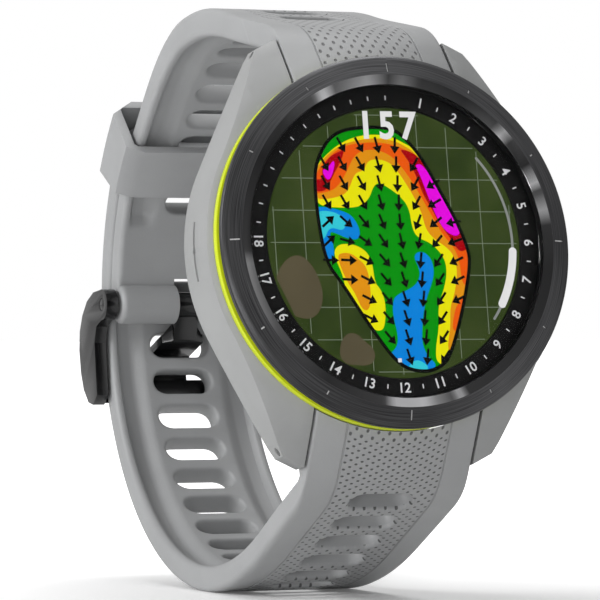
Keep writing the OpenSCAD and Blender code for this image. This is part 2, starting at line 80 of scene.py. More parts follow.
def face_outwards(mesh, crease):
    """Turn every face outwards and set the shading again. Says how many edges stay open."""
    bm = bmesh.new()
    bm.from_mesh(mesh)
    bmesh.ops.recalc_face_normals(bm, faces=bm.faces)
    loose = sum(1 for e in bm.edges if len(e.link_faces) != 2)
    bm.to_mesh(mesh)
    bm.free()
    finish_mesh(mesh, crease)
    return loose


def fit_out(obj, body, nodes=()):
    """Put a new piece on its body and hide the plain pieces it stands for."""
    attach(obj, body)
    if nodes:
        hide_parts(*nodes)


def make_piece(name, points, faces, mats, body, nodes=(), picks=None, uv=None, crease=35):
    """A mesh drawn lying down in millimetres. picks gives each face its material."""
    mesh = bpy.data.meshes.new(name)
    mesh.from_pydata([STAND @ Vector(p) for p in points], [], faces)
    for m in mats:
        mesh.materials.append(m)
    if picks:
        mesh.polygons.foreach_set("material_index", picks)
    if uv:
        layer = mesh.uv_layers.new(name="plan")
        for loop in mesh.loops:
            layer.data[loop.index].uv = uv[loop.vertex_index]
    finish_mesh(mesh, crease)
    obj = bpy.data.objects.new(name, mesh)
    bpy.context.scene.collection.objects.link(obj)
    fit_out(obj, body, nodes)
    return obj


# %% [markdown]
# ## Finishes
# Each finish is a small tree of nodes on the Principled shader. Real surfaces are never one
# flat value, so a fine noise moves the roughness, and a weak bump gives the moulded or ground
# grain. Colours are written as a paint shop would read them, 0 to 255, and turned into the
# linear values that the shader wants.

# %% Helpers for node trees
def paint(r, g, b):
    """A colour as seen on a screen, 0 to 255, in the linear values of a shader."""
    lin = [(c / 255) / 12.92 if c <= 10 else ((c / 255 + 0.055) / 1.055) ** 2.4 for c in (r, g, b)]
    return (*lin, 1)


def blank(name):
    """A new material, its tree and its Principled shader."""
    mat = bpy.data.materials.new(name)
    mat.use_nodes = True
    tree = mat.node_tree
    return mat, tree, tree.nodes["Principled BSDF"]


def add(tree, kind, **values):
    """A node with its settings and socket values in one call."""
    node = tree.nodes.new(kind)
    for key, value in values.items():
        if hasattr(node, key):
            setattr(node, key, value)
        else:
            node.inputs[key.replace("_", " ")].default_value = value
    return node


def sums(tree, op, a, b=0.0, c=0.0):
    """One Math node. a, b and c are numbers or sockets."""
    node = tree.nodes.new("ShaderNodeMath")
    node.operation = op
    for socket, value in zip(node.inputs, (a, b, c)):
        if isinstance(value, (int, float)):
            socket.default_value = value
        else:
            tree.links.new(value, socket)
    return node.outputs[0]


def grain(tree, scale, detail=3.0, stretch=None):
    """Noise in object space. scale is in cells per metre; stretch squeezes the axes."""
    place = add(tree, "ShaderNodeTexCoord")
    out = place.outputs["Object"]
    if stretch:
        squeeze = add(tree, "ShaderNodeMapping", Scale=stretch)
        tree.links.new(out, squeeze.inputs["Vector"])
        out = squeeze.outputs["Vector"]
    noise = add(tree, "ShaderNodeTexNoise", Scale=scale, Detail=detail)
    tree.links.new(out, noise.inputs["Vector"])
    return noise.outputs["Fac"]


def ramp(tree, fac, stops):
    """Colours at places from 0 to 1, blended in between."""
    node = tree.nodes.new("ShaderNodeValToRGB")
    while len(node.color_ramp.elements) < len(stops):
        node.color_ramp.elements.new(0.5)
    for el, (at, col) in zip(node.color_ramp.elements, sorted(stops)):
        el.position, el.color = at, col
    tree.links.new(fac, node.inputs["Fac"])
    return node.outputs["Color"]


def spread(tree, fac, low, high, start=0.0, stop=1.0, curve="LINEAR"):
    """A value that runs from start to stop is moved to run from low to high."""
    node = add(tree, "ShaderNodeMapRange", interpolation_type=curve)
    for key, value in (("From Min", start), ("From Max", stop), ("To Min", low), ("To Max", high)):
        node.inputs[key].default_value = value
    tree.links.new(fac, node.inputs["Value"])
    return node.outputs["Result"]


def relief(tree, shader, height, depth):
    """Bump of a given depth in millimetres."""
    bump = add(tree, "ShaderNodeBump", Strength=1.0, Distance=depth * MM)
    tree.links.new(height, bump.inputs["Height"])
    tree.links.new(bump.outputs["Normal"], shader.inputs["Normal"])


def split_plan(tree):
    """The two plan coordinates of a drawn mesh, as sockets."""
    plan = add(tree, "ShaderNodeUVMap", uv_map="plan")
    split = add(tree, "ShaderNodeSeparateXYZ")
    tree.links.new(plan.outputs["UV"], split.inputs[0])
    return split.outputs[0], split.outputs[1]


print("white of the paint card, linear:", paint(255, 255, 255)[0])

# %% [markdown]
# ### Silicone, plastic and rubber
# Moulded silicone is matt with a soft sheen at grazing angles. The mould leaves a very fine grain, and
# handling leaves slightly smoother, darker patches. The band's front panel carries rows of small dimples;
# they are laid out with arithmetic on the band's own plan coordinates, so that they stay evenly spaced round
# every bend. Each dimple is a shallow bump with painted shade inside it and a painted highlight on one side
# of its rim.

# %% Soft finishes
def moulded(name, dark, light, rough, cell=2500, depth=0.01, sheen=0.0):
    """Cast plastic or rubber: broad worn patches and a fine grain, cell per metre."""
    mat, tree, shader = blank(name)
    broad = grain(tree, 90, 4)
    fine = grain(tree, cell, 3)
    tree.links.new(ramp(tree, broad, [(0.3, dark), (0.7, light)]), shader.inputs["Base Color"])
    both = sums(tree, "MULTIPLY_ADD", fine, 0.6, sums(tree, "MULTIPLY", broad, 0.4))
    tree.links.new(spread(tree, both, rough - 0.06, rough + 0.06), shader.inputs["Roughness"])
    shader.inputs["Sheen Weight"].default_value = sheen
    relief(tree, shader, fine, depth)
    return mat, tree, shader, fine


SILICONE_TONES = (paint(146, 147, 148), paint(154, 155, 156))
silicone = moulded("band silicone", *SILICONE_TONES, 0.5, 3200, 0.012, 0.06)[0]
case_polymer = moulded("case polymer", paint(141, 142, 142), paint(149, 150, 150), 0.42, 5000, 0.006)[0]
black_rubber = moulded("black rubber", paint(22, 22, 22), paint(30, 30, 30), 0.6, 3000)[0]
dark_plastic = moulded("dark moulded plastic", paint(34, 34, 35), paint(42, 42, 43), 0.45, 4000, 0.008)[0]
back_plastic = moulded("back cover plastic", paint(44, 44, 46), paint(52, 52, 54), 0.38, 5000, 0.006)[0]
accent_yellow = moulded("accent yellow", paint(188, 202, 0), paint(200, 214, 8), 0.3, 3000, 0.004)[0]
sensor_black = moulded("sensor window black", paint(10, 10, 12), paint(14, 14, 17), 0.12, 900, 0.001)[0]
flex_film = moulded("flex film", paint(150, 95, 30), paint(170, 110, 40), 0.35, 2000, 0.004)[0]
board_green = moulded("solder mask", paint(14, 70, 40), paint(20, 84, 48), 0.3, 1800)[0]


DIMPLE_ACROSS, DIMPLE_ALONG, DIMPLE_R = 1.3, 1.25, 0.25


def staggered_dots(tree, slide=0.0):
    """0 on flat ground, 1 in the middle of a dimple, on a staggered grid of the plan."""
    u, s = split_plan(tree)

    def to_centre(socket, step, shift):
        part = sums(tree, "FRACT", sums(tree, "MULTIPLY_ADD", socket, 1 / step, 200 + shift))
        return sums(tree, "MULTIPLY", sums(tree, "SUBTRACT", part, 0.5), step)

    best = None
    for shift in (0.0, 0.5):
        x = to_centre(u, DIMPLE_ACROSS, shift - slide / DIMPLE_ACROSS)
        y = to_centre(s, DIMPLE_ALONG, shift + slide / DIMPLE_ALONG)
        far = sums(tree, "SQRT", sums(tree, "MULTIPLY_ADD", x, x, sums(tree, "MULTIPLY", y, y)))
        best = far if best is None else sums(tree, "MINIMUM", best, far)
    return spread(tree, best, 0, 1, DIMPLE_R, DIMPLE_R * 0.35, "SMOOTHSTEP")


panel, tree, shader, fine = moulded("dimpled silicone", *SILICONE_TONES, 0.5, 3200, 0.012, 0.06)
# painted shade: the middle of each dimple is darkened in the colour; the same mask also dents it a little
# through the bump below
dimple_dent_and_shade = staggered_dots(tree)
# painted highlight: one side of each dimple's rim is made lighter
rims = staggered_dots(tree, 0.12)      # the lit rim of each dimple lies to one side
shade = sums(tree, "MULTIPLY_ADD", dimple_dent_and_shade, 0.6, sums(tree, "MULTIPLY", rims, -0.2))
shade = sums(tree, "MULTIPLY_ADD", fine, 0.1, shade)
# the darkest tone is the painted shade in the dimples; the painted highlight pushes the rim to the lightest
# tone
tones = [(0.0, SILICONE_TONES[1]), (0.1, SILICONE_TONES[0]), (0.45, paint(76, 76, 77))]
tree.links.new(ramp(tree, shade, tones), shader.inputs["Base Color"])
relief(tree, shader, sums(tree, "MULTIPLY_ADD", dimple_dent_and_shade, -1.0, sums(tree, "MULTIPLY", fine, 0.05)), 0.06)
print("soft finishes:", silicone.name, "and", panel.name)


# %% [markdown]
# ### Metals
# Brushed steel is a metal whose roughness and relief are stretched along the brushing. On a turned ring the
# brushing runs round the ring, so its noise is read from plan coordinates that hold the angle and the radius.
# Polished faces are the same metal with almost no roughness. On the bezel both finishes also get painted
# reflections: their colour is made lighter and darker by the angle round the ring.

# %% Metal finishes
RING_READ = 20             # plan coordinate of a ring: this many millimetres for each radian
FULL_TURN = RING_READ * 2 * math.pi
EVEN = (1, 1, 1)           # grain that is not stretched


def brushed(name, dark, light, rough, stretch=None, cell=600, depth=0.004):
    """A ground metal. stretch squeezes the grain; None reads ring coordinates."""
    mat, tree, shader = blank(name)
    if stretch is None:
        plan = add(tree, "ShaderNodeUVMap", uv_map="plan")
        squeeze = add(tree, "ShaderNodeMapping", Scale=(0.1, 11, 1))
        noise = add(tree, "ShaderNodeTexNoise", Scale=1.0, Detail=5.0)
        tree.links.new(plan.outputs["UV"], squeeze.inputs["Vector"])
        tree.links.new(squeeze.outputs["Vector"], noise.inputs["Vector"])
        lines = noise.outputs["Fac"]
    else:
        lines = grain(tree, cell, 4, stretch)
    tree.links.new(ramp(tree, lines, [(0.3, dark), (0.7, light)]), shader.inputs["Base Color"])
    tree.links.new(spread(tree, lines, rough - 0.1, rough + 0.1), shader.inputs["Roughness"])
    shader.inputs["Metallic"].default_value = 1.0
    relief(tree, shader, lines, depth)
    return mat


bezel_brushed = brushed("brushed gunmetal", paint(80, 80, 82), paint(138, 138, 140), 0.34)
bezel_polished = brushed("polished gunmetal", paint(236, 236, 238), paint(244, 244, 246), 0.14, EVEN, 300,
                         0.0005)


def round_shine(mat, stops):
    """Painted reflections: the colour is made lighter and darker by the angle round the ring, in place of the
    studio seen in a turned or mirror face.
    """
    tree = mat.node_tree
    shader = tree.nodes["Principled BSDF"]
    turn = sums(tree, "FRACT", sums(tree, "MULTIPLY", split_plan(tree)[0], 1 / FULL_TURN))
    painted_reflections = ramp(tree, turn, [(a / 360, paint(v, v, v)) for a, v in stops])
    mix = add(tree, "ShaderNodeMix", data_type="RGBA", blend_type="MULTIPLY")
    mix.inputs[0].default_value = 1.0
    tree.links.new(shader.inputs["Base Color"].links[0].from_socket, mix.inputs[6])
    tree.links.new(painted_reflections, mix.inputs[7])
    tree.links.new(mix.outputs[2], shader.inputs["Base Color"])


# degrees clockwise from 12 o'clock, and how light the painted reflection makes the metal there
round_shine(bezel_brushed, [
    (0, 214), (20, 190), (55, 170), (90, 140), (120, 170), (145, 196), (175, 150), (200, 150),
    (222, 160), (240, 150), (270, 160), (300, 170), (318, 210), (340, 226), (360, 214)])
# the narrow bright peaks on the polished chamfer are painted highlights
round_shine(bezel_polished, [
    (0, 80), (5, 130), (12, 70), (30, 60), (44, 100), (48, 225), (52, 90), (62, 60), (69, 205), (72, 70),
    (79, 190), (84, 70), (100, 56), (150, 70), (158, 70), (161, 205), (164, 100), (170, 160), (175, 228),
    (186, 215), (190, 80), (212, 60), (262, 130), (266, 60), (300, 40), (315, 60), (330, 100), (334, 232),
    (339, 110), (352, 180), (360, 80)])
engraving = brushed("engraved mark", paint(190, 190, 190), paint(205, 205, 205), 0.45, EVEN, 3000, 0.002)
button_metal = brushed("button gunmetal", paint(100, 100, 102), paint(126, 126, 128), 0.34, (1, 1, 6), 900)
plain_steel = brushed("satin steel", paint(188, 188, 190), paint(204, 204, 206), 0.32, (1, 6, 1), 900)
tinned_steel = brushed("tinned steel", paint(196, 196, 196), paint(214, 214, 214), 0.36, EVEN, 500)
gold_contacts = brushed("gold contacts", paint(224, 180, 92), paint(240, 198, 112), 0.24, EVEN, 900)
antenna_brass = brushed("plated brass", paint(196, 168, 104), paint(214, 186, 120), 0.34, EVEN, 700)
cell_foil = brushed("cell foil", paint(176, 178, 184), paint(198, 200, 206), 0.3, (1, 8, 1), 500)


def enamelled(name, dark, light, rough):
    """Thick black paint under a clear coat, as on the buckle."""
    mat, tree, shader = blank(name)
    fine = grain(tree, 1500, 3)
    tree.links.new(ramp(tree, fine, [(0.3, dark), (0.7, light)]), shader.inputs["Base Color"])
    tree.links.new(spread(tree, fine, rough - 0.04, rough + 0.04), shader.inputs["Roughness"])
    shader.inputs["Coat Weight"].default_value = 0.2
    shader.inputs["Coat Roughness"].default_value = 0.08
    relief(tree, shader, fine, 0.002)
    return mat


buckle_black = enamelled("black buckle enamel", paint(9, 9, 10), paint(14, 14, 15), 0.22)
print("metals:", len([m for m in bpy.data.materials if m.node_tree.nodes.get("Principled BSDF")]))

# %% [markdown]
# ### The clear lens
# Real watch glass has a coating that takes away most reflections. A low index of refraction
# does the same here. Lamps have to shine through the glass onto the numbers, so rays on their
# way to a lamp meet a transparent shader instead of the glass.

# %% Lens glass
lens_glass, tree, shader = blank("coated lens glass")
shader.inputs["Transmission Weight"].default_value = 1.0
shader.inputs["IOR"].default_value = 1.08
smear = grain(tree, 60, 3)
tree.links.new(spread(tree, smear, 0.0, 0.004), shader.inputs["Roughness"])
open_way = add(tree, "ShaderNodeBsdfTransparent")
choice = add(tree, "ShaderNodeMixShader")
path = add(tree, "ShaderNodeLightPath")
tree.links.new(path.outputs["Is Shadow Ray"], choice.inputs["Fac"])
tree.links.new(shader.outputs[0], choice.inputs[1])
tree.links.new(open_way.outputs[0], choice.inputs[2])
tree.links.new(choice.outputs[0], tree.nodes["Material Output"].inputs["Surface"])
print("lens index of refraction:", round(shader.inputs["IOR"].default_value, 2))

# %% [markdown]
# ### Lit inks
# A display glows by itself, so its inks are mostly emission with a little base colour. A faint
# noise keeps each ink from being a dead flat patch, as the backlight of a real panel does.

# %% Lit finishes
def glowing(name, cell, detail, stops):
    """Light of its own over nearly black ground, mottled through the stops of a ramp."""
    mat, tree, shader = blank(name)
    shade = ramp(tree, grain(tree, cell, detail), stops)
    shader.inputs["Base Color"].default_value = (0.004, 0.004, 0.004, 1)
    shader.inputs["Specular IOR Level"].default_value = 0.0
    tree.links.new(shade, shader.inputs["Emission Color"])
    shader.inputs["Emission Strength"].default_value = 1.0
    return mat


def lit(name, colour, wobble=0.06):
    """One ink of the display, with patches that are dimmer by the share wobble."""
    dim = tuple(c * (1 - wobble) for c in colour[:3]) + (1,)
    return glowing(name, 220, 3, [(0.3, dim), (0.7, colour)])


map_ground = glowing("map ground", 150, 4, [(0.3, paint(42, 58, 22)), (0.5, paint(54, 70, 28)),
                                            (0.72, paint(66, 80, 38))])
white_ink = lit("lit white", paint(250, 250, 250))
grey_ink = lit("lit grey", paint(150, 154, 150))
grid_ink = lit("map grid", paint(128, 140, 118))
black_ink = lit("map black", paint(6, 8, 5))
sand_ink = lit("map sand", paint(96, 88, 66), 0.12)
print("lit inks:", len([m for m in bpy.data.materials if m.name.startswith(("lit", "map"))]))

# %% [markdown]
# ## The band
# The band is one curved strip of silicone with rows of round-ended slots. Cutting holes with
# booleans leaves ragged shading, so the strip is first laid out flat as a plan of quads: a
# ring of quads round each slot, and a plain grid elsewhere. A second step bends the plan into
# the outer and the inner skin, and adds grooves, soft slot lips and the hollow on the inside.
# Along the band, s is 0 where the straight stretch meets the round loop; it grows towards the
# lug and falls towards the buckle. Across the band, u runs from -9.3 to 9.3.

# %% Sizes of the band
PITCH, SLOT_W, SLOT_H = 5.1, 7.6, 3.3     # slot to slot, and one slot across and along the band
FIRST_SLOT = 2.42          # slot nearest the start of the loop, on the straight side
CELL_U = 4.9               # half width of the ring of quads round a slot
EDGE_U = 9.3               # half width of the band
SLOT_R = SLOT_H / 2
SLOT_FLAT = (SLOT_W - SLOT_H) / 2
THICK = 3.0
LOOP_R, LOOP_Z = 34.4, -24.5       # outer skin of the round loop, and the height of its centre
SHOULDER_R, SHOULDER_A = 48.0, math.radians(18)
ARC = SHOULDER_R * SHOULDER_A
LUG_HALF, SLOT_ZONE = 9.95, 7.6    # half width at the lugs; columns up to here never move
WIDE_FROM, WIDE_OVER = -30, 28     # the band grows to the lug width over this stretch of height
HEAD_SPAN = 10             # plan length that is spread between the last slot and the crease
LUG_PIN_Y = 22.4
CREASE_R, CREASE_Z = 22.0, 8.8     # the front slopes down outside the crease and up inside it
RIM_R, RIM_Z, END_R = 20.9, 9.5, 20.95     # where it meets the bezel, and where the strap ends
GROOVE = (6.15, 6.35)      # the groove on each side of the dimpled panel
SIDE_COLUMNS = [4.9, 5.3, 5.7, 6.0, 6.1, 6.2, 6.3, 6.42, 6.52, 6.62, 6.9, 7.3, 7.6,
                7.85, 8.1, 8.35, 8.55, 8.75, 8.9, 9.02, 9.12, 9.2, 9.26, 9.3]
ACROSS, ALONG = 16, 12     # quads on the long and short sides of a slot cell
LOWER_SLOTS = [FIRST_SLOT + PITCH * j for j in range(-15, 6)]
UPPER_SLOTS = [FIRST_SLOT + PITCH * j for j in range(-7, 4)]


def slot_outline(c):
    """Points round a slot, matched to the points round its cell."""
    def walk(n, parts):
        total = sum(p[0] for p in parts)
        for i in range(n):
            t = total * i / n
            for length, put in parts:
                if t <= length:
                    yield put(t / length)
                    break
                t -= length

    def arc(side, a0, a1):
        def put(t):
            a = a0 + (a1 - a0) * t
            return c + SLOT_R * math.sin(a), side * SLOT_FLAT + SLOT_R * math.cos(a)

        return abs(a1 - a0) * SLOT_R, put

    def flat(way):
        return 2 * SLOT_FLAT, lambda t: (c + way * SLOT_R, way * SLOT_FLAT * (2 * t - 1))

    q = math.pi / 4
    top = [arc(-1, 3 * q, 2 * q), flat(1), arc(1, 2 * q, q)]
    right = [arc(1, q, -q)]
    bottom = [arc(1, -q, -2 * q), flat(-1), arc(-1, -2 * q, -3 * q)]
    left = [arc(-1, 5 * q, 3 * q)]
    return [*walk(ACROSS, top), *walk(ALONG, right), *walk(ACROSS, bottom), *walk(ALONG, left)]


def cell_outline(c):
    """Points round the cell of a slot, in the same order and number."""
    h = PITCH / 2
    top = [(c + h, -CELL_U + 2 * CELL_U * i / ACROSS) for i in range(ACROSS)]
    right = [(c + h - PITCH * i / ALONG, CELL_U) for i in range(ALONG)]
    bottom = [(c - h, CELL_U - 2 * CELL_U * i / ACROSS) for i in range(ACROSS)]
    left = [(c - h + PITCH * i / ALONG, -CELL_U) for i in range(ALONG)]
    return top + right + bottom + left


def lay_out(slots, rows_before, rows_after):
    """The flat plan: points (s, u), quads, and the closed loop of points round each slot."""
    points, index, quads, loops = [], {}, [], []

    def at(s, u):
        key = (round(s, 4), round(u, 4))
        if key not in index:
            index[key] = len(points)
            points.append((s, u))
        return index[key]

    sides = [-u for u in reversed(SIDE_COLUMNS)]
    middle = [-CELL_U + 2 * CELL_U * i / ACROSS for i in range(1, ACROSS)]
    columns = sides + middle + SIDE_COLUMNS
    cells = sorted(slots)
    rows = list(rows_before)
    for c in cells:
        rows += [c - PITCH / 2 + PITCH * i / ALONG for i in range(ALONG)]
    rows += [cells[-1] + PITCH / 2] + list(rows_after)
    rows = sorted(set(round(r, 4) for r in rows))
    low, high = cells[0] - PITCH / 2, cells[-1] + PITCH / 2
    for s0, s1 in zip(rows, rows[1:]):
        for u0, u1 in zip(columns, columns[1:]):
            inside = low - 1e-3 < s0 and s1 < high + 1e-3 and abs(u0 + u1) / 2 < CELL_U
            if not inside:
                quads.append((at(s0, u0), at(s0, u1), at(s1, u1), at(s1, u0)))
    for c in cells:
        hole, cell = slot_outline(c), cell_outline(c)
        levels = [0, 0.1, 0.22, 0.38, 0.58, 0.8, 1]
        rings = [[at(*(a + (b - a) * f for a, b in zip(p, q))) for p, q in zip(hole, cell)] for f in levels]
        n = len(hole)
        for inner, outer in zip(rings, rings[1:]):
            for j in range(n):
                k = (j + 1) % n
                quads.append((inner[j], inner[k], outer[k], outer[j]))
        loops.append(rings[0])
    return points, quads, loops, rows, columns


print("points round one slot:", len(slot_outline(0)), "and round its cell:", len(cell_outline(0)))

# %% [markdown]
# ### Bending the plan into a band
# Each point of the plan gets a place on the outer skin and one on the inner skin. The path has
# a round loop, a gentle shoulder, a straight stretch, and at the lug a facet that continues
# the cone-shaped front of the case. The facet is part of a cone, so its corner with the
# straight stretch lies at a slightly different s for each u, and is found by halving steps.

# %% Paths of the two straps
def smooth(t):
    """0 below 0, 1 above 1, and a soft step in between."""
    t = min(max(t, 0.0), 1.0)
    return t * t * (3 - 2 * t)


def cone_z(rho):
    """Height of the front of the case and band end at distance rho from the dial axis."""
    if rho >= CREASE_R:
        return CREASE_Z - 0.75 * (rho - CREASE_R)
    return CREASE_Z + (RIM_Z - CREASE_Z) * (CREASE_R - rho) / (CREASE_R - RIM_R)


def half_width(z):
    """Half width of the band at height z."""
    return EDGE_U + (LUG_HALF - EDGE_U) * min(max((z - WIDE_FROM) / WIDE_OVER, 0), 1)


def spread_u(u, w):
    """The outer columns follow the true half width w; the slot columns stay put."""
    past = abs(u) - SLOT_ZONE
    return u if past <= 0 else math.copysign(SLOT_ZONE + past * (w - SLOT_ZONE) / (EDGE_U - SLOT_ZONE), u)


CORNER_BEND = 3.4          # the corner before the facet is eased over this length on each side
FACET_OUT, RIM_OUT = (0.6, 0.8), (0.54, 0.84)     # directions out of the facet and out of the rim


class Path:
    """Outer and inner skin of one strap, drawn as if it hung from the 12 o'clock lugs.

    loop_out and loop_in give the radii of the loop at an angle in degrees, and slots the row
    of slots. From the first s of knuckle, drawn at its second s, the inner skin turns under
    the lug pin. crown is how far the worn strap bulges."""

    def __init__(self, loop_out, loop_in, shoulder_r, slots, knuckle, crown=0.0):
        self.loop_out, self.loop_in, self.slots = loop_out, loop_in, slots
        self.r, self.knuckle, self.crown = shoulder_r, knuckle, crown
        self.head = round(slots[-1] + PITCH / 2, 4)
        self.y0 = shoulder_r - SHOULDER_R + SHOULDER_R * math.cos(SHOULDER_A)
        self.z0 = LOOP_Z + SHOULDER_R * math.sin(SHOULDER_A)
        self.corners = {}

    def line(self, s, depth=0.0):
        """Straight stretch, depth under the outer skin."""
        l, c, q = s - ARC, math.cos(SHOULDER_A), math.sin(SHOULDER_A)
        return self.y0 - l * q - depth * c, self.z0 + l * c - depth * q

    def corner(self, x):
        """Where the straight stretch meets the front facet, and how long the facet is."""
        x = round(abs(x), 3)
        if x not in self.corners:
            lo, hi = ARC, ARC + 25
            for _ in range(30):
                mid = (lo + hi) / 2
                y, z = self.line(mid)
                lo, hi = (mid, hi) if z < cone_z(math.hypot(x, y)) else (lo, mid)
            y, z = self.line(lo)
            y1 = math.sqrt(CREASE_R ** 2 - x * x)
            self.corners[x] = (lo, y, y1, math.hypot(y - y1, cone_z(math.hypot(x, y)) - CREASE_Z))
        return self.corners[x]

    def front(self, s, x):
        """Point on the straight stretch or, past the corner, on the facet."""
        sc, yc, y1, length = self.corner(x)
        if s <= sc:
            return self.line(s)
        y = yc + (y1 - yc) * (s - sc) / length
        return y, cone_z(math.hypot(x, y))

    def true_s(self, s, x):
        """Rows past the last slot are spread over what is left up to the crease."""
        if s <= self.head:
            return s
        sc, _, _, length = self.corner(x)
        return self.head + min((s - self.head) / HEAD_SPAN, 1) * (sc + length - self.head)

    def outer(self, s, x):
        """Point on the outer skin at s, x and the direction that points out of it, as (y, z)."""
        if s <= 0:
            a = -s / LOOP_R
            r = self.loop_out(math.degrees(a))
            return (r * math.cos(a), LOOP_Z - r * math.sin(a)), (math.cos(a), -math.sin(a))
        if s <= ARC:
            a = s / SHOULDER_R
            y = self.r - SHOULDER_R + SHOULDER_R * math.cos(a)
            return (y, LOOP_Z + SHOULDER_R * math.sin(a)), (math.cos(a), math.sin(a))
        side = (math.cos(SHOULDER_A), math.sin(SHOULDER_A))
        if s > self.head + HEAD_SPAN:
            rho = CREASE_R + (END_R - CREASE_R) * (s - self.head - HEAD_SPAN)
            return (math.sqrt(rho * rho - x * x), cone_z(rho)), RIM_OUT
        t = self.true_s(s, x)
        sc, bend = self.corner(x)[0], CORNER_BEND
        if t <= sc - bend:
            return self.line(t), side
        if t >= sc + bend:
            return self.front(t, x), FACET_OUT
        k = (t - sc + bend) / (2 * bend)
        a, b, c = self.line(sc - bend), self.line(sc), self.front(sc + bend, x)
        p = tuple((1 - k) ** 2 * a[i] + 2 * k * (1 - k) * b[i] + k * k * c[i] for i in (0, 1))
        n = tuple(side[i] * (1 - k) + FACET_OUT[i] * k for i in (0, 1))
        return p, n

    def inner(self, s, x):
        """The same for the inner skin."""
        if s <= 0:
            a = -s / LOOP_R
            r = self.loop_in(math.degrees(a))
            return (r * math.cos(a), LOOP_Z - r * math.sin(a)), (-math.cos(a), math.sin(a))
        if s <= ARC:
            a = s / SHOULDER_R
            m = SHOULDER_R - THICK
            y = self.r - SHOULDER_R + m * math.cos(a)
            return (y, LOOP_Z + m * math.sin(a)), (-math.cos(a), -math.sin(a))
        start, stop = self.knuckle
        if s <= start:
            l = ARC + (s - ARC) * (stop - ARC) / (start - ARC)
            return self.line(l, THICK), (-math.cos(SHOULDER_A), -math.sin(SHOULDER_A))
        way = [self.line(stop, THICK), (LUG_PIN_Y + 0.9, 2.62), (LUG_PIN_Y, 2.55), (LUG_PIN_Y - 0.8, 2.7),
               (math.sqrt(END_R ** 2 - x * x), 4.2)]
        f = (s - start) / (self.head + HEAD_SPAN + 1 - start) * (len(way) - 1)
        i = min(int(f), len(way) - 2)
        f -= i
        p = tuple(way[i][k] + (way[i + 1][k] - way[i][k]) * f for k in (0, 1))
        return p, (0.0, -1.0)


def closing(top, back):
    """The upper strap draws in from top to back where it slips under the tail."""
    return lambda a: top + (back - top) * smooth(a / 36)


UPPER_R, UNDER_TAIL_R, UNDER_TAIL_IN = 33.0, 30.9, 28.1
lower_path = Path(lambda a: LOOP_R, lambda a: LOOP_R - THICK, LOOP_R, LOWER_SLOTS, (29.6, 29.1))
upper_path = Path(closing(UPPER_R, UNDER_TAIL_R), closing(UPPER_R - THICK, UNDER_TAIL_IN), UPPER_R,
                  UPPER_SLOTS, (24.6, 29.0), 0.9)
print("lower corner at s =", round(lower_path.corner(0)[0], 2), "upper at", round(upper_path.corner(0)[0], 2))

# %% [markdown]
# ### Grooves, lips and the hollow
# All relief is a depth under the nominal skin: round edges along both sides, a soft lip round
# each slot, a thin groove on each side of the dimpled panel, and on the inside a wide hollow
# between a thin rim and the raised middle that carries the slots.

# %% Relief of the two skins
LIP, EDGE_ROUND, END_ROUND = 0.45, 0.75, 0.2
GROOVE_DEPTH, HOLLOW_DEPTH = 0.16, 0.95
CROWN_START, CROWN_RISE, CROWN_FALL = -24, 22, 17     # the last one ends at the last slot
PANEL_FROM = -22           # the dimpled panel starts here and runs up to the lug
NOTCH_U = 2 * CELL_U * 3 / ACROSS      # half width of the notch for the tang, on a column


def quarter(depth_in, radius):
    """Drop of a rounded edge at a distance depth_in from its end."""
    if depth_in >= radius:
        return 0.0
    return radius - math.sqrt(max(radius ** 2 - (radius - max(depth_in, 0)) ** 2, 0))


def slot_gap(s, u, slots):
    """Distance from the rim of the nearest slot."""
    c = min(slots, key=lambda mid: abs(mid - s))
    return math.hypot(max(abs(u) - SLOT_FLAT, 0), s - c) - SLOT_R


def outer_drop(s, u, path):
    """Depth of the outer skin under the plain path. The crown counts as negative depth."""
    edge = EDGE_ROUND + (END_ROUND - EDGE_ROUND) * smooth((s - path.head + 6) / 6)
    drop = quarter(EDGE_U - abs(u), edge) + quarter(slot_gap(s, u, path.slots), LIP)
    if s > PANEL_FROM and GROOVE[0] < abs(u) < GROOVE[1]:
        drop += GROOVE_DEPTH * smooth((s - PANEL_FROM) / 3)
    return drop - crown_lift(s, path)


def inner_drop(s, u, path, hollow):
    """The same for the inner skin, where hollow gives the two ends of the hollow."""
    a = abs(u)
    cross = smooth((8.45 - a) / 0.7) * smooth((a - 4.7) / 1.9)
    along = smooth((s - hollow[0]) / 2.5) * smooth((hollow[1] - s) / 4)
    drop = quarter(EDGE_U - a, EDGE_ROUND) + quarter(slot_gap(s, u, path.slots), LIP)
    return drop + HOLLOW_DEPTH * cross * along + 0.5 * crown_lift(s, path)


def crown_lift(s, path):
    """The worn upper strap bulges a little over the wrist."""
    rise = smooth((s - CROWN_START) / CROWN_RISE)
    return path.crown * rise * smooth((path.head - s) / CROWN_FALL)


def roll_profile(n):
    """Round the buckle bar: from the outer skin back to the inner one."""
    bar_r, bar_a, radius = 28.44, math.radians(81.5), 2.4
    cy, cz = bar_r * math.cos(bar_a), LOOP_Z - bar_r * math.sin(bar_a)
    lead, turn = math.radians(79), math.radians(261.9)
    out = (math.cos(lead), -math.sin(lead))
    ring = [((UNDER_TAIL_R * out[0], LOOP_Z + UNDER_TAIL_R * out[1]), out)]
    for i in range(n + 1):
        a = -bar_a - turn * i / n
        ring.append(((cy + radius * math.cos(a), cz + radius * math.sin(a)), (math.cos(a), math.sin(a))))
    return ring


print("crown over the plain path, mm:", crown_lift(0, upper_path), "and", crown_lift(0, lower_path))

# %% [markdown]
# ### Closing the strap
# Two skins alone are only a sheet each. Walls of quads join them inside every slot, along both
# sides and over the ends, so that the strap is one closed body. The tail is narrowed to a
# round tip as its points are placed.

# %% Skins and walls
TIP_LENGTH = 5             # the tail narrows over this length


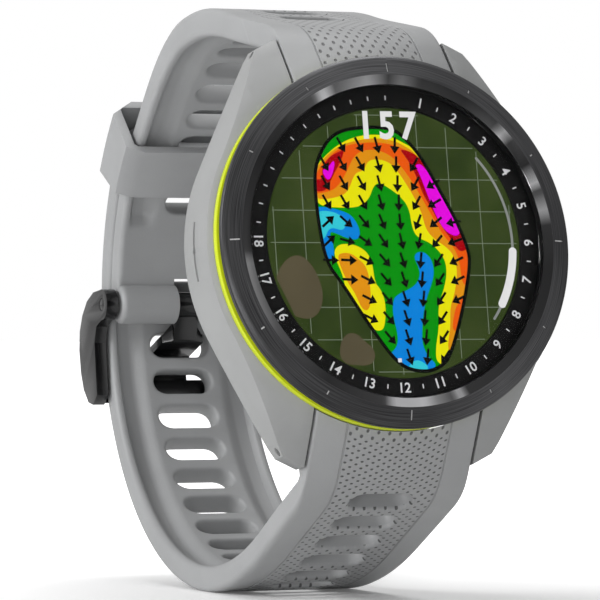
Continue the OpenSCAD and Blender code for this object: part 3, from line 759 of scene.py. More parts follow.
def strap_skins(plan, path, hollow, tip, sign):
    """Points of the outer skin, then of the inner one. sign -1 hangs the strap from 6 o'clock."""
    outer, inner = [], []
    for s, u in plan:
        w = LUG_HALF if s > path.head else half_width(path.outer(s, 0)[0][1])
        x = spread_u(u, w)
        if tip and s < tip + TIP_LENGTH:
            x *= math.sqrt(1 - 0.8 * (1 - (s - tip) / TIP_LENGTH) ** 2)
        p, n = path.outer(s, x)
        d = outer_drop(s, u, path)
        outer.append((x, sign * (p[0] - n[0] * d), p[1] - n[1] * d))
        p, n = path.inner(s, x)
        d = inner_drop(s, u, path, hollow)
        inner.append((x, sign * (p[0] - n[0] * d), p[1] - n[1] * d))
    return outer + inner


def strap_walls(plan, loops, rows, columns, seek, open_end):
    """Quads between the two skins. open_end leaves the first row open outside the notch."""
    half = len(plan)
    lines = [loop + loop[:1] for loop in loops]
    lines += [[seek(s, u) for s in rows] for u in (columns[0], columns[-1])]
    walls = [(i, j, half + j, half + i) for line in lines for i, j in zip(line, line[1:])]
    for s in (rows[0], rows[-1]):
        across = [seek(s, u) for u in columns]
        for i, j in zip(across, across[1:]):
            outside_notch = abs(plan[i][1] + plan[j][1]) / 2 > NOTCH_U
            if not (open_end and s == rows[0] and outside_notch):
                walls.append((i, j, half + j, half + i))
    return walls


print("the tip is", round(100 * math.sqrt(1 - 0.8)), "percent as wide as the band")

# %% [markdown]
# ### The roll and both straps
# The upper strap has no wall at its buckle end. There the outer skin runs round the bar and
# comes back to the inner skin, in two halves that leave a notch for the tang. With that, one
# function builds either strap; the lower one is the same drawing hung from the 6 o'clock lugs.

# %% Roll round the bar, and the two straps
ROLL_STEPS = 30
NEAR = 0.01                # columns this near an edge count as on it


def roll_skin(points, uv, half, first, columns, seek, sign):
    """Adds the points of the roll round the bar and gives its faces."""
    strips, faces = {}, []
    for u in columns:
        if abs(u) > NOTCH_U - NEAR:
            start = seek(first, u)
            strip = [start]
            for p, n in roll_profile(ROLL_STEPS):
                d = quarter(EDGE_U - abs(u), EDGE_ROUND)
                points.append((spread_u(u, EDGE_U), sign * (p[0] - n[0] * d), p[1] - n[1] * d))
                uv.append((u, first))
                strip.append(len(points) - 1)
            strips[u] = strip + [half + start]
    for u0, u1 in zip(columns, columns[1:]):
        if u0 in strips and u1 in strips and abs(u0 + u1) / 2 > NOTCH_U:
            a, b = strips[u0], strips[u1]
            faces += [(a[k], b[k], b[k + 1], a[k + 1]) for k in range(len(a) - 1)]
    ends = [u for u in strips if abs(u) > EDGE_U - NEAR or abs(u) < NOTCH_U + NEAR]
    return faces + [tuple(strips[u]) for u in ends]


def head_rows(path, n):
    """n rows from the last slot up to the crease, and two more over the rim."""
    up = [path.head + HEAD_SPAN * i / n for i in range(1, n + 1)]
    return up + [path.head + HEAD_SPAN + step for step in (0.5, 1)]


def build_strap(name, path, before, after, hollow, sign, body, node, tip=None, rolled=False):
    """before and after are the rows of the plan on each side of the row of slots."""
    plan, quads, loops, rows, columns = lay_out(path.slots, before, after)
    index = {(round(s, 4), round(u, 4)): i for i, (s, u) in enumerate(plan)}
    half = len(plan)

    def seek(s, u):
        return index[(round(s, 4), round(u, 4))]

    points = strap_skins(plan, path, hollow, tip, sign)
    uv = [(u, s) for s, u in plan] * 2
    faces = quads + [tuple(half + i for i in q) for q in quads]
    faces += strap_walls(plan, loops, rows, columns, seek, rolled)
    if rolled:
        faces += roll_skin(points, uv, half, rows[0], columns, seek, sign)
    dimpled = [all(abs(plan[i][1]) < GROOVE[0] and plan[i][0] > PANEL_FROM for i in q) for q in quads]
    picks = [int(d) for d in dimpled] + [0] * (len(faces) - len(quads))
    obj = make_piece(name, points, faces, [silicone, panel], body, [node], picks, uv, 42)
    loose = face_outwards(obj.data, 42)
    print(name, len(faces), "faces, edges not shared by two faces:", loose)


TAIL, ROLL_START = -84.75, -45.06     # s at the tip of the tail and where the roll begins
build_strap("lower_strap_silicone", lower_path, [TAIL + 0.35 * i for i in range(23)],
            head_rows(lower_path, 24), (-79, ARC + 4), -1, "lower_band", "lower_strap", tip=TAIL)
build_strap("upper_strap_silicone", upper_path, [ROLL_START + 0.6 * i for i in range(15)],
            head_rows(upper_path, 48), (-37.6, ARC + 4), 1, "upper_band", "upper_strap", rolled=True)

# %% [markdown]
# ### The keeper
# The keeper is a loop of the same silicone that holds the loose end. Its section is a frame
# with large outer chamfers; it is swept a short way round the loop of the band, and then all
# its edges are rounded by a bevel. A swept frame keeps clean quads, so the bevel behaves.

# %% Keeper with rounded edges
def round_edges(mesh, width, angle=28, segments=3):
    """Bevel all edges sharper than angle degrees by width millimetres."""
    bm = bmesh.new()
    bm.from_mesh(mesh)
    bmesh.ops.recalc_face_normals(bm, faces=bm.faces)
    sharp = [e for e in bm.edges if len(e.link_faces) == 2 and e.calc_face_angle() > math.radians(angle)]
    bmesh.ops.bevel(bm, geom=sharp, offset=width * MM, segments=segments, profile=0.5, affect="EDGES",
                    clamp_overlap=True)
    bm.to_mesh(mesh)
    bm.free()
    finish_mesh(mesh, 30)


def build_keeper():
    """inside and outside are the radii of its opening, and h is half the width of the opening."""
    h, wall, inside, outside = EDGE_U + 0.5, 1.2, 27.6, 34.9
    r0, r1 = inside - wall, outside + wall
    outer = [(r0, -h + 1), (r0 + 1.1, -h - wall), (r1 - 2.4, -h - wall), (r1, -h + 1.8), (r1, h - 1.8),
             (r1 - 2.4, h + wall), (r0 + 1.1, h + wall), (r0, h - 1)]
    inner = [(inside, -h + 0.4), (inside + 0.4, -h), (outside - 0.4, -h), (outside, -h + 0.4),
             (outside, h - 0.4), (outside - 0.4, h), (inside + 0.4, h), (inside, h - 0.4)]
    mid, half, steps = 45.0, 8.6 / 2 / LOOP_R, 10      # degrees below the middle, radians, rings
    points, faces, n = [], [], len(outer)
    for i in range(steps + 1):
        a = math.radians(mid) - half + 2 * half * i / steps
        for r, x in outer + inner:
            points.append((x, r * math.cos(a), LOOP_Z - r * math.sin(a)))
    for i in range(steps):
        for j in range(n):
            k = (j + 1) % n
            a, b = 2 * n * i, 2 * n * (i + 1)
            faces.append((a + j, a + k, b + k, b + j))
            faces.append((a + n + j, a + n + k, b + n + k, b + n + j))
    for base in (0, 2 * n * steps):
        faces += [(base + j, base + (j + 1) % n, base + n + (j + 1) % n, base + n + j) for j in range(n)]
    obj = make_piece("keeper_silicone", points, faces, [silicone], "keeper_loop", ["keeper"])
    round_edges(obj.data, 0.3)
    return obj


keeper = build_keeper()
print("keeper faces:", len(keeper.data.polygons))

# %% [markdown]
# ## Machined and moulded parts that keep their frame shape
# Many pieces already have the right shape in the frame: the case, the buckle, the buttons.
# What they lack is the small round on every edge that catches the light. Instead of changing
# the frame, each is copied, its flat faces are joined back into single faces, and its edges
# are bevelled. The copy then stands for the plain piece.

# %% Soften the edges of a frame piece
def soften(node, mat, body, width, angle=24, segments=2, facet=0.0):
    """width rounds the edges; facet first cuts a flat along the rims of the two outer sides."""
    mesh = NODES[node].data.copy()
    mesh.name = node + "_finished"
    mesh.materials.clear()
    mesh.materials.append(mat)
    bm = bmesh.new()
    bm.from_mesh(mesh)
    bmesh.ops.remove_doubles(bm, verts=bm.verts, dist=1e-7)
    bmesh.ops.dissolve_limit(bm, angle_limit=math.radians(0.3), verts=bm.verts, edges=bm.edges)
    if facet:
        far = max(v.co.x for v in bm.verts)
        rim = [e for e in bm.edges if min(abs(v.co.x) for v in e.verts) > far - 1e-6]
        bmesh.ops.bevel(bm, geom=rim, offset=facet * MM, segments=1, affect="EDGES", clamp_overlap=True)
    bm.to_mesh(mesh)
    bm.free()
    mesh.polygons.foreach_set("material_index", [0] * len(mesh.polygons))
    round_edges(mesh, width, angle, segments)
    obj = bpy.data.objects.new(node + "_finished", mesh)
    bpy.context.scene.collection.objects.link(obj)
    fit_out(obj, body, [node])
    return obj


soften("case_body", case_polymer, "case", 0.14)
soften("accent_ring", accent_yellow, "case", 0.12)
soften("back_cover", back_plastic, "case", 0.1)
soften("sensor_window", sensor_black, "case", 0.15)
soften("buckle_frame", buckle_black, "buckle", 0.2, facet=0.75)
soften("buckle_tang", buckle_black, "tang", 0.2, segments=3)
soften("buckle_bar", buckle_black, "upper_band", 0.15)
for side in ("top", "middle", "bottom"):
    soften("button_" + side, button_metal, side + "_button", 0.12)

# %% [markdown]
# ## Turned rings
# The bezel is turned on a lathe and then brushed. Its lathe profile is spun into a fine mesh whose rings
# carry plan coordinates (angle and radius) for the brushing and the painted reflections. The hour marks are
# engraved: the faces under each mark are pushed down, which leaves true walls round them.

# %% Bezel with engraved hour marks
SPOKES = 720
HOUR, QUARTER = SPOKES // 12, SPOKES // 4
POLISHED, SHORT_MARK, LONG_MARK = range(12, 16), (8,), (7, 8, 9)     # bands of the lathe profile
ENGRAVE_DEPTH = 0.1


def close_seam(mesh):
    """The faces that cross 12 o'clock read their plan past a full turn, not back to zero."""
    layer = mesh.uv_layers["plan"]
    for face in mesh.polygons:
        corners = [layer.data[i] for i in face.loop_indices]
        turns = [c.uv.x for c in corners]
        if max(turns) - min(turns) > FULL_TURN / 2:
            for c in corners:
                if c.uv.x < FULL_TURN / 2:
                    c.uv.x += FULL_TURN


def engrave(mesh, marks):
    """Push the faces numbered in marks down, with walls round them."""
    bm = bmesh.new()
    bm.from_mesh(mesh)
    bm.faces.ensure_lookup_table()
    sunk = bmesh.ops.extrude_face_region(bm, geom=[bm.faces[i] for i in marks])["geom"]
    floor_faces = [g for g in sunk if isinstance(g, bmesh.types.BMFace)]
    for v in {v for f in floor_faces for v in f.verts}:
        v.co -= (STAND.to_3x3() @ Vector((0, 0, 1))) * ENGRAVE_DEPTH
    for f in floor_faces:
        f.material_index = 2
    lids = [f for f in bm.faces if f.index in marks and f not in floor_faces]
    bmesh.ops.delete(bm, geom=lids, context="FACES")
    bm.to_mesh(mesh)
    bm.free()


def build_bezel():
    """The profile runs up the outer side, over the top and down the polished chamfer."""
    profile = [(17.65, 11.1), (20.7, 11.1), (21.0, 11.6), (21.0, 12.08), (20.93, 12.22), (20.75, 12.36),
               (20.45, 12.46), (20.15, 12.55), (19.85, 12.634), (19.4, 12.76), (19.05, 12.86), (18.85, 12.93),
               (18.74, 12.95), (18.68, 12.93), (17.75, 12.66), (17.67, 12.62), (17.65, 12.55)]
    n = len(profile)
    points, uv, faces, picks, marks = [], [], [], [], []
    for i in range(SPOKES):
        a = 2 * math.pi * (i + 0.5) / SPOKES
        for r, z in profile:
            points.append((r * math.sin(a), r * math.cos(a), z))
            uv.append((a * RING_READ, r))
    for i in range(SPOKES):
        k = (i + 1) % SPOKES
        marked = LONG_MARK if (i + 1) % QUARTER == 0 else SHORT_MARK if (i + 1) % HOUR == 0 else ()
        for j in range(n):
            m = (j + 1) % n
            if j in marked:
                marks.append(len(faces))
            faces.append((i * n + j, k * n + j, k * n + m, i * n + m))
            picks.append(int(j in POLISHED))
    obj = make_piece("bezel_ring", points, faces, [bezel_brushed, bezel_polished, engraving], "case",
                     ["bezel"], picks, uv, 20)
    close_seam(obj.data)
    engrave(obj.data, marks)
    face_outwards(obj.data, 20)
    return obj


bezel = build_bezel()
print("bezel faces:", len(bezel.data.polygons))

# %% [markdown]
# ## Printing on the number ring
# A golf watch counts holes, so its ring runs from 1 to 18 in steps of 15 degrees, with a
# small mark between each pair. Numbers on the lower half stand upright and those on the
# upper half face outwards, so none is read upside down. Each number is a text curve from the
# built-in font, turned into a mesh and laid just above the black ring.

# %% Text and marks as thin printed meshes
def ink_mesh(text, height, bold=0.0, squeeze=1.0, gap=1.0):
    """Flat outline of a text, centred, as (points, faces) in millimetres."""
    curve = bpy.data.curves.new("ink", "FONT")
    curve.body, curve.align_x, curve.align_y = text, "CENTER", "CENTER"
    curve.offset, curve.resolution_u, curve.space_character = bold, 3, gap
    holder = bpy.data.objects.new("ink", curve)
    bpy.context.scene.collection.objects.link(holder)
    bpy.context.view_layer.update()
    mesh = holder.to_mesh()
    flat = [v.co.copy() for v in mesh.vertices]
    faces = [tuple(p.vertices) for p in mesh.polygons]
    holder.to_mesh_clear()
    bpy.data.objects.remove(holder)
    bpy.data.curves.remove(curve)
    x0, x1 = min(p.x for p in flat), max(p.x for p in flat)
    y0, y1 = min(p.y for p in flat), max(p.y for p in flat)
    k = height / (y1 - y0)
    return [((p.x - (x0 + x1) / 2) * k * squeeze, (p.y - (y0 + y1) / 2) * k) for p in flat], faces


class Ink:
    """Collects flat shapes of the dial, to become one piece."""

    def __init__(self):
        self.points, self.faces = [], []

    def shape(self, flat, faces, z, turn=0.0, at=(0, 0)):
        """A flat shape, turned and moved to its place."""
        c, s, base = math.cos(turn), math.sin(turn), len(self.points)
        self.points += [(at[0] + x * c - y * s, at[1] + x * s + y * c, z) for x, y in flat]
        self.faces += [tuple(base + i for i in f) for f in faces]

    def outline(self, flat, z):
        """One closed outline as a single face."""
        self.shape(flat, [tuple(range(len(flat)))], z)

    def bar(self, a, b, width, z):
        """A straight stroke from a to b."""
        dx, dy = b[0] - a[0], b[1] - a[1]
        k = width / 2 / math.hypot(dx, dy)
        corners = ((a, -k), (b, -k), (b, k), (a, k))
        self.outline([(p[0] - dy * w, p[1] + dx * w) for p, w in corners], z)

    def make(self, name, mat, slot, nodes=()):
        return make_piece(name, self.points, self.faces, [mat], "case", nodes)


def clock(radius, degrees):
    """A point of the dial, degrees clockwise from 12 o'clock."""
    a = math.radians(degrees)
    return radius * math.sin(a), radius * math.cos(a)


RING_TOP = 11.45
PRINT = RING_TOP + 0.02    # the ink lies just above the ring
HOLE_TURN = 15             # degrees from one number to the next
NUMBER_R, NUMBER_HIGH = 16.35, 1.12
MARK_FROM, MARK_TO, MARK_WIDE = 16.1, 16.6, 0.13
numbers = Ink()
for hole in range(1, 19):
    a = HOLE_TURN * hole
    flip = 180 if hole > 6 else 0
    flat, faces = ink_mesh(str(hole), NUMBER_HIGH, 0.012)
    numbers.shape(flat, faces, PRINT, math.radians(flip - a), clock(NUMBER_R, a))
between = [HOLE_TURN * (hole + 0.5) for hole in range(1, 18)]
upper_left = [HOLE_TURN * (18 + 0.5 * i) for i in range(1, 13)]      # marks alone, no numbers
for a in between + upper_left:
    numbers.bar(clock(MARK_FROM, a), clock(MARK_TO, a), MARK_WIDE, PRINT)
ring_ink = moulded("printed white ink", paint(206, 206, 208), paint(222, 222, 224), 0.5, 3000, 0.001)[0]
ring_black, tree, shader, fine = moulded("printed black", paint(8, 8, 8), paint(12, 12, 12), 0.5, 2600, 0.001)
shader.inputs["Specular IOR Level"].default_value = 0.1
numbers.make("ring_numbers", ring_ink, "ring_black")
print("printed shapes on the ring:", len(numbers.faces))

# %% [markdown]
# ### The black ring
# The ring under the numbers and the lens above it are plain turned pieces. One lathe function
# spins a profile of radius and height once round the dial axis.

# %% Black ring under the numbers
def lathe(name, profile, spokes, mat, nodes):
    """A closed profile of (radius, height) spun round the dial axis, on the case."""
    n = len(profile)
    points = [(r * math.cos(2 * math.pi * i / spokes), r * math.sin(2 * math.pi * i / spokes), z)
              for i in range(spokes) for r, z in profile]
    faces = [(i * n + j, (i + 1) % spokes * n + j, (i + 1) % spokes * n + (j + 1) % n, i * n + (j + 1) % n)
             for i in range(spokes) for j in range(n)]
    obj = make_piece(name, points, faces, [mat], "case", nodes)
    face_outwards(obj.data, 30)
    print(name, len(faces), "faces")


ring_profile = [(15.3, 11.0), (17.6, 11.0), (17.6, 11.43), (17.55, RING_TOP), (15.42, RING_TOP),
                (15.3, 11.36)]
lathe("number_ring_black", ring_profile, 240, ring_black, ["number_ring"])

# %% [markdown]
# ## The lit map
# The display shows one golf green: an outline with its slopes in colour, an arrow for each
# patch of ground, sand, a grid, the distance in yards and a scroll bar. Everything is drawn as
# flat outlines in millimetres on thin layers, each a few microns above the one below, because
# outlines keep sharp edges at any size of picture.

# %% Ground of the map
PANEL_TOP, PANEL_UNDER = 11.36, 10.3
LAYER = 0.01               # height from one thin layer of the picture to the next
DISPLAY_R = 15.2


def disc(radius, n=180):
    """A round outline about the dial axis."""
    return [clock(radius, -360 * i / n) for i in range(n)]


panel_flat = disc(DISPLAY_R)
n = len(panel_flat)
panel_points = [(x, y, z) for z in (PANEL_TOP, PANEL_UNDER) for x, y in panel_flat]
panel_faces = [tuple(range(n)), tuple(range(2 * n - 1, n - 1, -1))]
panel_faces += [(i, (i + 1) % n, n + (i + 1) % n, n + i) for i in range(n)]
make_piece("display_glass_panel", panel_points, panel_faces, [map_ground], "case",
           ["display_panel"])

grid = Ink()
GRID_R = DISPLAY_R - 0.3   # the strokes stop a little inside the edge
for k in range(-4, 5):
    x, y = 3.58 * k - 0.05, 3.62 * k - 0.1
    up, across = math.sqrt(GRID_R ** 2 - x * x), math.sqrt(GRID_R ** 2 - y * y)
    grid.bar((x, -up), (x, up), 0.09, PANEL_TOP + LAYER)
    grid.bar((-across, y), (across, y), 0.09, PANEL_TOP + LAYER)
grid.make("map_grid", grid_ink, "display")


def blob(centre, radii, wobble, n=64):
    """An oval whose radius swells by waves of (count, share, phase)."""
    flat = []
    for i in range(n):
        t = 2 * math.pi * i / n
        r = 1 + sum(share * math.cos(count * t + phase) for count, share, phase in wobble)
        flat.append((centre[0] + r * math.cos(t) * radii[0], centre[1] + r * math.sin(t) * radii[1]))
    return flat


sand = Ink()
sand.outline([p for p in blob((-11.9, -5.2), (2.6, 3.7), [(2, 0.07, 0.6), (3, 0.05, 2.0)])
              if math.hypot(*p) < DISPLAY_R], PANEL_TOP + 2 * LAYER)
sand.outline(blob((-5.6, -12.2), (1.9, 1.9), [(2, 0.12, 0.9), (3, 0.1, 1.1)]), PANEL_TOP + 2 * LAYER)
sand.make("map_sand", sand_ink, "display")
print("grid strokes:", len(grid.faces))

# %% [markdown]
# ### The green and its slopes
# The green is a closed outline in millimetres, and each slope colour is a smaller outline laid
# on top of it, flattest ground first. The corners are cut two or three times over to make them
# smooth, and points that fall outside the green are pulled back to its edge. The arrows sit on
# a square grid and run downhill towards the valley in the lower middle.

# %% The green and its slopes
GREEN = [
    (-4.3, 12.8), (-1.2, 13), (0.9, 12.7), (2.2, 11.6), (3.6, 10), (4.8, 7.9), (6.2, 5.2), (7.6, 2.5),
    (8.8, -0.7), (8.9, -2.5), (8, -6.2), (7, -9.4), (6, -12), (5.1, -13.6), (3.3, -14.5), (1.7, -14.5),
    (0.2, -14.1), (-1.2, -13), (-3, -10.5), (-4.6, -8.1), (-6.7, -4.7), (-8.5, -2.2), (-9.1, 2.6),
    (-9.2, 6.8), (-8.8, 9), (-7.5, 11.2), (-6.1, 12.3)]
SLOPES = [  # colour, outline
    ("yellow", [
        (-9, 8.4), (-7.6, 9.8), (-6, 11), (-4, 11.9), (-1.8, 12.2), (0.4, 12), (1.8, 11.3),
        (3.2, 10.6), (5.2, 7.6), (9, 0.4), (9.4, -2.6), (8, -6.6), (5.4, -14), (4, -13.6), (4, -12),
        (4.6, -9.6), (4.7, -7), (5.6, -5.2), (6.1, -3.2), (5.8, -1.6), (4.4, -0.1), (2.8, 0.5),
        (2.2, 1.5), (2, 4), (0.8, 5.4), (-0.9, 6.5), (-1.6, 6.7), (-2.2, 6.2), (-2.7, 5), (-3.8, 4),
        (-5.6, 3.8), (-9.6, 4)]),
    ("orange", [
        (-9.2, 8), (-7.4, 9.9), (-5.8, 10.9), (-3.8, 11.5), (-1.4, 11.8), (0.8, 11.5), (2, 10.9),
        (3.2, 10.2), (5.2, 7.4), (9, 0.4), (9.4, -2.6), (8, -6.6), (6, -13), (5.4, -12), (6, -9.6),
        (6.1, -7.4), (6.8, -5.8), (7.3, -3.6), (7.2, -2), (6.6, -0.8), (4.6, 0.5), (3.8, 1.6),
        (3.5, 3.4), (2.3, 5.9), (0.7, 8.4), (-0.2, 9.1), (-1.4, 9.4), (-2.6, 9.2), (-3.2, 8),
        (-4.3, 7.8), (-5.2, 5.7), (-6.4, 5), (-9.6, 4.6)]),
    ("red", [
        (-9, 7.8), (-7, 9.9), (-5.4, 10.8), (-3.6, 11.2), (-1.2, 11.3), (0.8, 11), (2, 10.5),
        (3.4, 9.9), (5.2, 7.4), (9, 0.4), (9.2, -2.4), (8.4, -5), (7.8, -4.6), (7.7, -2.4),
        (7.3, -0.8), (6, 0.7), (4.9, 2.6), (3.5, 5.3), (2.2, 7.5), (1.2, 8.8), (0.1, 9.9),
        (-1.6, 10.5), (-3.4, 10.3), (-4.4, 9.5), (-5.6, 7.3), (-6.6, 6.1), (-7.6, 5.6), (-9.6, 5.3)]),
    ("red", [
        (8.4, -5.6), (6.9, -7.1), (6.4, -8.6), (6.2, -10), (7, -10)]),
    ("crimson", [
        (-8.3, 8.2), (-7.2, 9.6), (-6.2, 10.1), (-5.3, 10.5), (-5.8, 9.2), (-6.7, 7.8), (-7.3, 6.8),
        (-8, 5.6), (-9.6, 5.7), (-9.4, 7), (-8.1, 7)]),
    ("crimson", [
        (1.3, 10.6), (3, 10.2), (4.4, 8.8), (8.6, 1.2), (9, -0.6), (7.8, -1.2), (7, 0.1),
        (5.4, 2.4), (4.7, 3.9), (3.8, 5.4), (3.3, 7.1), (2.5, 8.9), (1.9, 9.8)]),
    ("magenta", [
        (-8.2, 8.1), (-7.4, 8.4), (-6.8, 9.2), (-6.6, 8.8), (-7.1, 7.3), (-7.6, 6.9), (-8, 7.4)]),
    ("magenta", [
        (3, 8.9), (4.3, 8.8), (8.2, 1.6), (7.7, 0.6), (6.4, 1.1), (5.5, 2.3), (4.5, 4.9), (3.6, 7.7)]),
    ("blue", [
        (-9.6, 3.9), (-8, 3.9), (-6.6, 3.6), (-5.2, 3.1), (-4.5, 2.2), (-4.1, 1), (-4.5, 0.2),
        (-5.8, 0.4), (-6.9, 0.9), (-7.9, 1.2), (-7.5, -0.2), (-7.4, -1.4), (-7.9, -2.4), (-9, -1.6)]),
    ("cyan", [
        (-9.4, 3.4), (-7.7, 3.5), (-6.3, 3), (-5.7, 2.1), (-6.2, 1.2), (-7.4, 1.6), (-8, 1.3),
        (-8.4, 0.4), (-9.2, 0)]),
    ("yellow", [
        (-7.5, -1.5), (-7.2, -0.6), (-6.4, -0.2), (-5, -0.3), (-3.9, -0.8), (-3.2, -1.6),
        (-2.9, -2.8), (-2.8, -4.6), (-2.1, -5.4), (-1.7, -6.8), (-1.8, -8.6), (-2.2, -10),
        (-3.4, -9.9), (-4.7, -8.1), (-6.4, -5.2), (-6.6, -3.7)]),
    ("orange", [
        (-7.2, -1.6), (-6.4, -1.2), (-5.4, -1.3), (-4.6, -1.9), (-3.8, -2.6), (-3.4, -4),
        (-3.4, -6.8), (-3.9, -7.8), (-4.6, -7.5), (-5.3, -5.7), (-6.2, -4.4)]),
    ("blue", [
        (2.1, -1.7), (2.6, -1.1), (3.4, -1.1), (4.2, -1.8), (4.5, -3.2), (4.2, -4.4), (3.2, -6.6),
        (2.8, -8.1), (2.5, -9.8), (2.4, -11.6), (3, -12.9), (4.2, -14), (2, -15), (-0.4, -14.6),
        (-2, -12.8), (-0.8, -12), (-0.4, -10.8), (-0.9, -8.2), (-0.8, -6.8), (-0.4, -6),
        (1.6, -5.2), (2.5, -4.4), (2.8, -3.2)]),
    ("cyan", [
        (0.2, -14.4), (1.2, -13.3), (2.1, -13.3), (3.2, -14.2), (1.8, -15)])]
SLOPE_INKS = {name: lit("slope " + name, paint(*rgb)) for name, rgb in {
    "green": (0, 158, 4), "yellow": (255, 250, 4), "orange": (246, 160, 16), "red": (255, 96, 8),
    "crimson": (180, 0, 12), "magenta": (250, 0, 244), "blue": (0, 142, 240), "cyan": (56, 220, 236)}.items()}


def inside(flat, x, y):
    """Whether a point lies inside an outline: a ray to the right crosses it an odd number of times."""
    hit = False
    for (x0, y0), (x1, y1) in zip(flat, flat[1:] + flat[:1]):
        if (y0 > y) != (y1 > y) and x < (x1 - x0) * (y - y0) / (y1 - y0) + x0:
            hit = not hit
    return hit


def rounded(flat, rounds=3):
    """Chaikin's way to smooth an outline: cut every corner, a few times over."""
    for _ in range(rounds):
        flat = [(a[0] + (b[0] - a[0]) * f, a[1] + (b[1] - a[1]) * f)
                for a, b in zip(flat, flat[1:] + flat[:1]) for f in (0.25, 0.75)]
    return flat


def grown(flat, by):
    """The outline moved outwards by a small distance."""
    out, n = [], len(flat)
    for i in range(n):
        (x0, y0), (x1, y1) = flat[i - 1], flat[(i + 1) % n]
        k = by / math.hypot(x1 - x0, y1 - y0)
        out.append((flat[i][0] - (y1 - y0) * k, flat[i][1] + (x1 - x0) * k))
    return out


def tucked(flat, border):
    """Points outside the border move to the nearest place on it."""
    out = []
    for x, y in flat:
        if not inside(border, x, y):
            spots = []
            for (x0, y0), (x1, y1) in zip(border, border[1:] + border[:1]):
                dx, dy = x1 - x0, y1 - y0
                t = min(max(((x - x0) * dx + (y - y0) * dy) / (dx * dx + dy * dy), 0), 1)
                spots.append((math.hypot(x - x0 - t * dx, y - y0 - t * dy), x0 + t * dx, y0 + t * dy))
            _, x, y = min(spots)
        out.append((x, y))
    return out


green = rounded(GREEN, 2)
patches = {name: Ink() for name in SLOPE_INKS}
patches["green"].outline(green, PANEL_TOP + 3 * LAYER)
for level, (name, flat) in enumerate(SLOPES):
    patches[name].outline(tucked(rounded(flat), green), PANEL_TOP + (3.3 + 0.25 * level) * LAYER)
for name, patch in patches.items():
    patch.make("map_" + name, SLOPE_INKS[name], "display")
edge = Ink()
outside, within = grown(green, 0.24), grown(green, -0.18)
for i in range(len(green)):
    k = (i + 1) % len(green)
    edge.outline([outside[i], outside[k], within[k], within[i]], PANEL_TOP + 8 * LAYER)
edge.make("map_green_edge", black_ink, "display")
print("outlines on the green:", len(SLOPES))

# %% [markdown]
# ### Arrows
# Each arrow is a stroke and a triangle. Its direction comes from a small rule: straight down,
# leaning towards the valley, and more so the lower it lies. An arrow is left out when its
# middle or both of its ends fall outside the green.

# %% Arrows down the slope
def flow(x, y):
    """Direction of an arrow in degrees."""
    if x < -6.5 and -1 < y < 3:        # at the left edge the ground falls to the upper right
        return 40
    low = smooth((5 - y) / 7)
    valley = 0.4 + 1.8 * low
    lean = (valley - x) * (13 if x > valley else 7 + 4 * low)
    return -90 + max(min(lean, 28 + 60 * low), -80)


ARROW_STEP, SHAFT, HEAD = 2.17, 0.3, 0.6     # spacing, stroke width, half width of the head
arrows = Ink()
top = PANEL_TOP + 8.5 * LAYER
for row in range(-6, 6):
    for col in range(-3, 5):
        x, y = -1.4 + ARROW_STEP * col, 0.1 + ARROW_STEP * row
        a = math.radians(flow(x, y))
        dx, dy = math.cos(a), math.sin(a)
        tip, tail_end = (x + dx * 0.98, y + dy * 0.98), (x - dx * 0.95, y - dy * 0.95)
        if not inside(green, x, y) or not (inside(green, *tip) or inside(green, *tail_end)):
            continue
        neck = (x + dx * 0.1, y + dy * 0.1)
        arrows.bar(tail_end, neck, SHAFT, top)
        arrows.outline([tip] + [(neck[0] + dy * w, neck[1] - dx * w) for w in (HEAD, -HEAD)], top)
arrows.make("map_arrows", black_ink, "display")
print("arrows:", len(arrows.faces) // 2)

# %% [markdown]
# ### Distance, pin and scroll bar
# The distance stands at the top, a small white square at the bottom edge of the green, and a
# bent bar on the right shows how far the page has scrolled.

# %% Distance, pin and scroll bar
readout = Ink()
top = PANEL_TOP + 9.5 * LAYER
flat, faces = ink_mesh("157", 3.25, 0.03, 0.92, 1.3)
readout.shape(flat, faces, top, 0, (0.36, 13.2))
readout.bar((-0.67, -13.3), (-0.23, -13.3), 0.44, top)


def arc_bar(ink, radius, a0, a1, width, z, n=40):
    """A bent bar with round ends, from a0 to a1 degrees."""
    flat = []
    for start, stop, way in ((a0, a1, 1), (a1, a0, -1)):
        half = width / 2 * way
        flat += [clock(radius + half, start + (stop - start) * i / n) for i in range(n + 1)]
        middle, out, along = clock(radius, stop), clock(1, stop), clock(1, stop + 90)
        for i in range(1, 8):
            c, s = half * math.cos(math.pi * i / 8), half * math.sin(math.pi * i / 8)
            flat.append(tuple(middle[k] + out[k] * c + along[k] * s for k in (0, 1)))
    ink.outline(flat, z)


SCROLL_R = 14.35
track = Ink()
arc_bar(track, SCROLL_R, 48, 127, 0.3, PANEL_TOP + 5 * LAYER)
track.make("map_scroll_track", grey_ink, "display")
arc_bar(readout, SCROLL_R, 94, 119, 0.95, PANEL_TOP + 6 * LAYER)
readout.make("map_readout", white_ink, "display")
print("shapes of the readout:", len(readout.faces))

# %% [markdown]
# ## The lens
# The lens is a clear disc with a rounded rim. It is drawn as its own lathe piece so that its
# edge catches the light beside the polished chamfer of the bezel.

# %% Lens
AXIS = 0.001               # a profile point this near the axis closes the disc
lens_profile = [(AXIS, 11.5), (17.5, 11.5), (17.58, 11.58), (17.58, 12.62), (17.5, 12.7), (AXIS, 12.7)]
lathe("clear_lens", lens_profile, 180, lens_glass, ["lens"])

# %% [markdown]
# ## Works and small parts
# The pieces inside the case and the small steel parts keep the frame's own meshes. Each gets
# the finish of its real material.

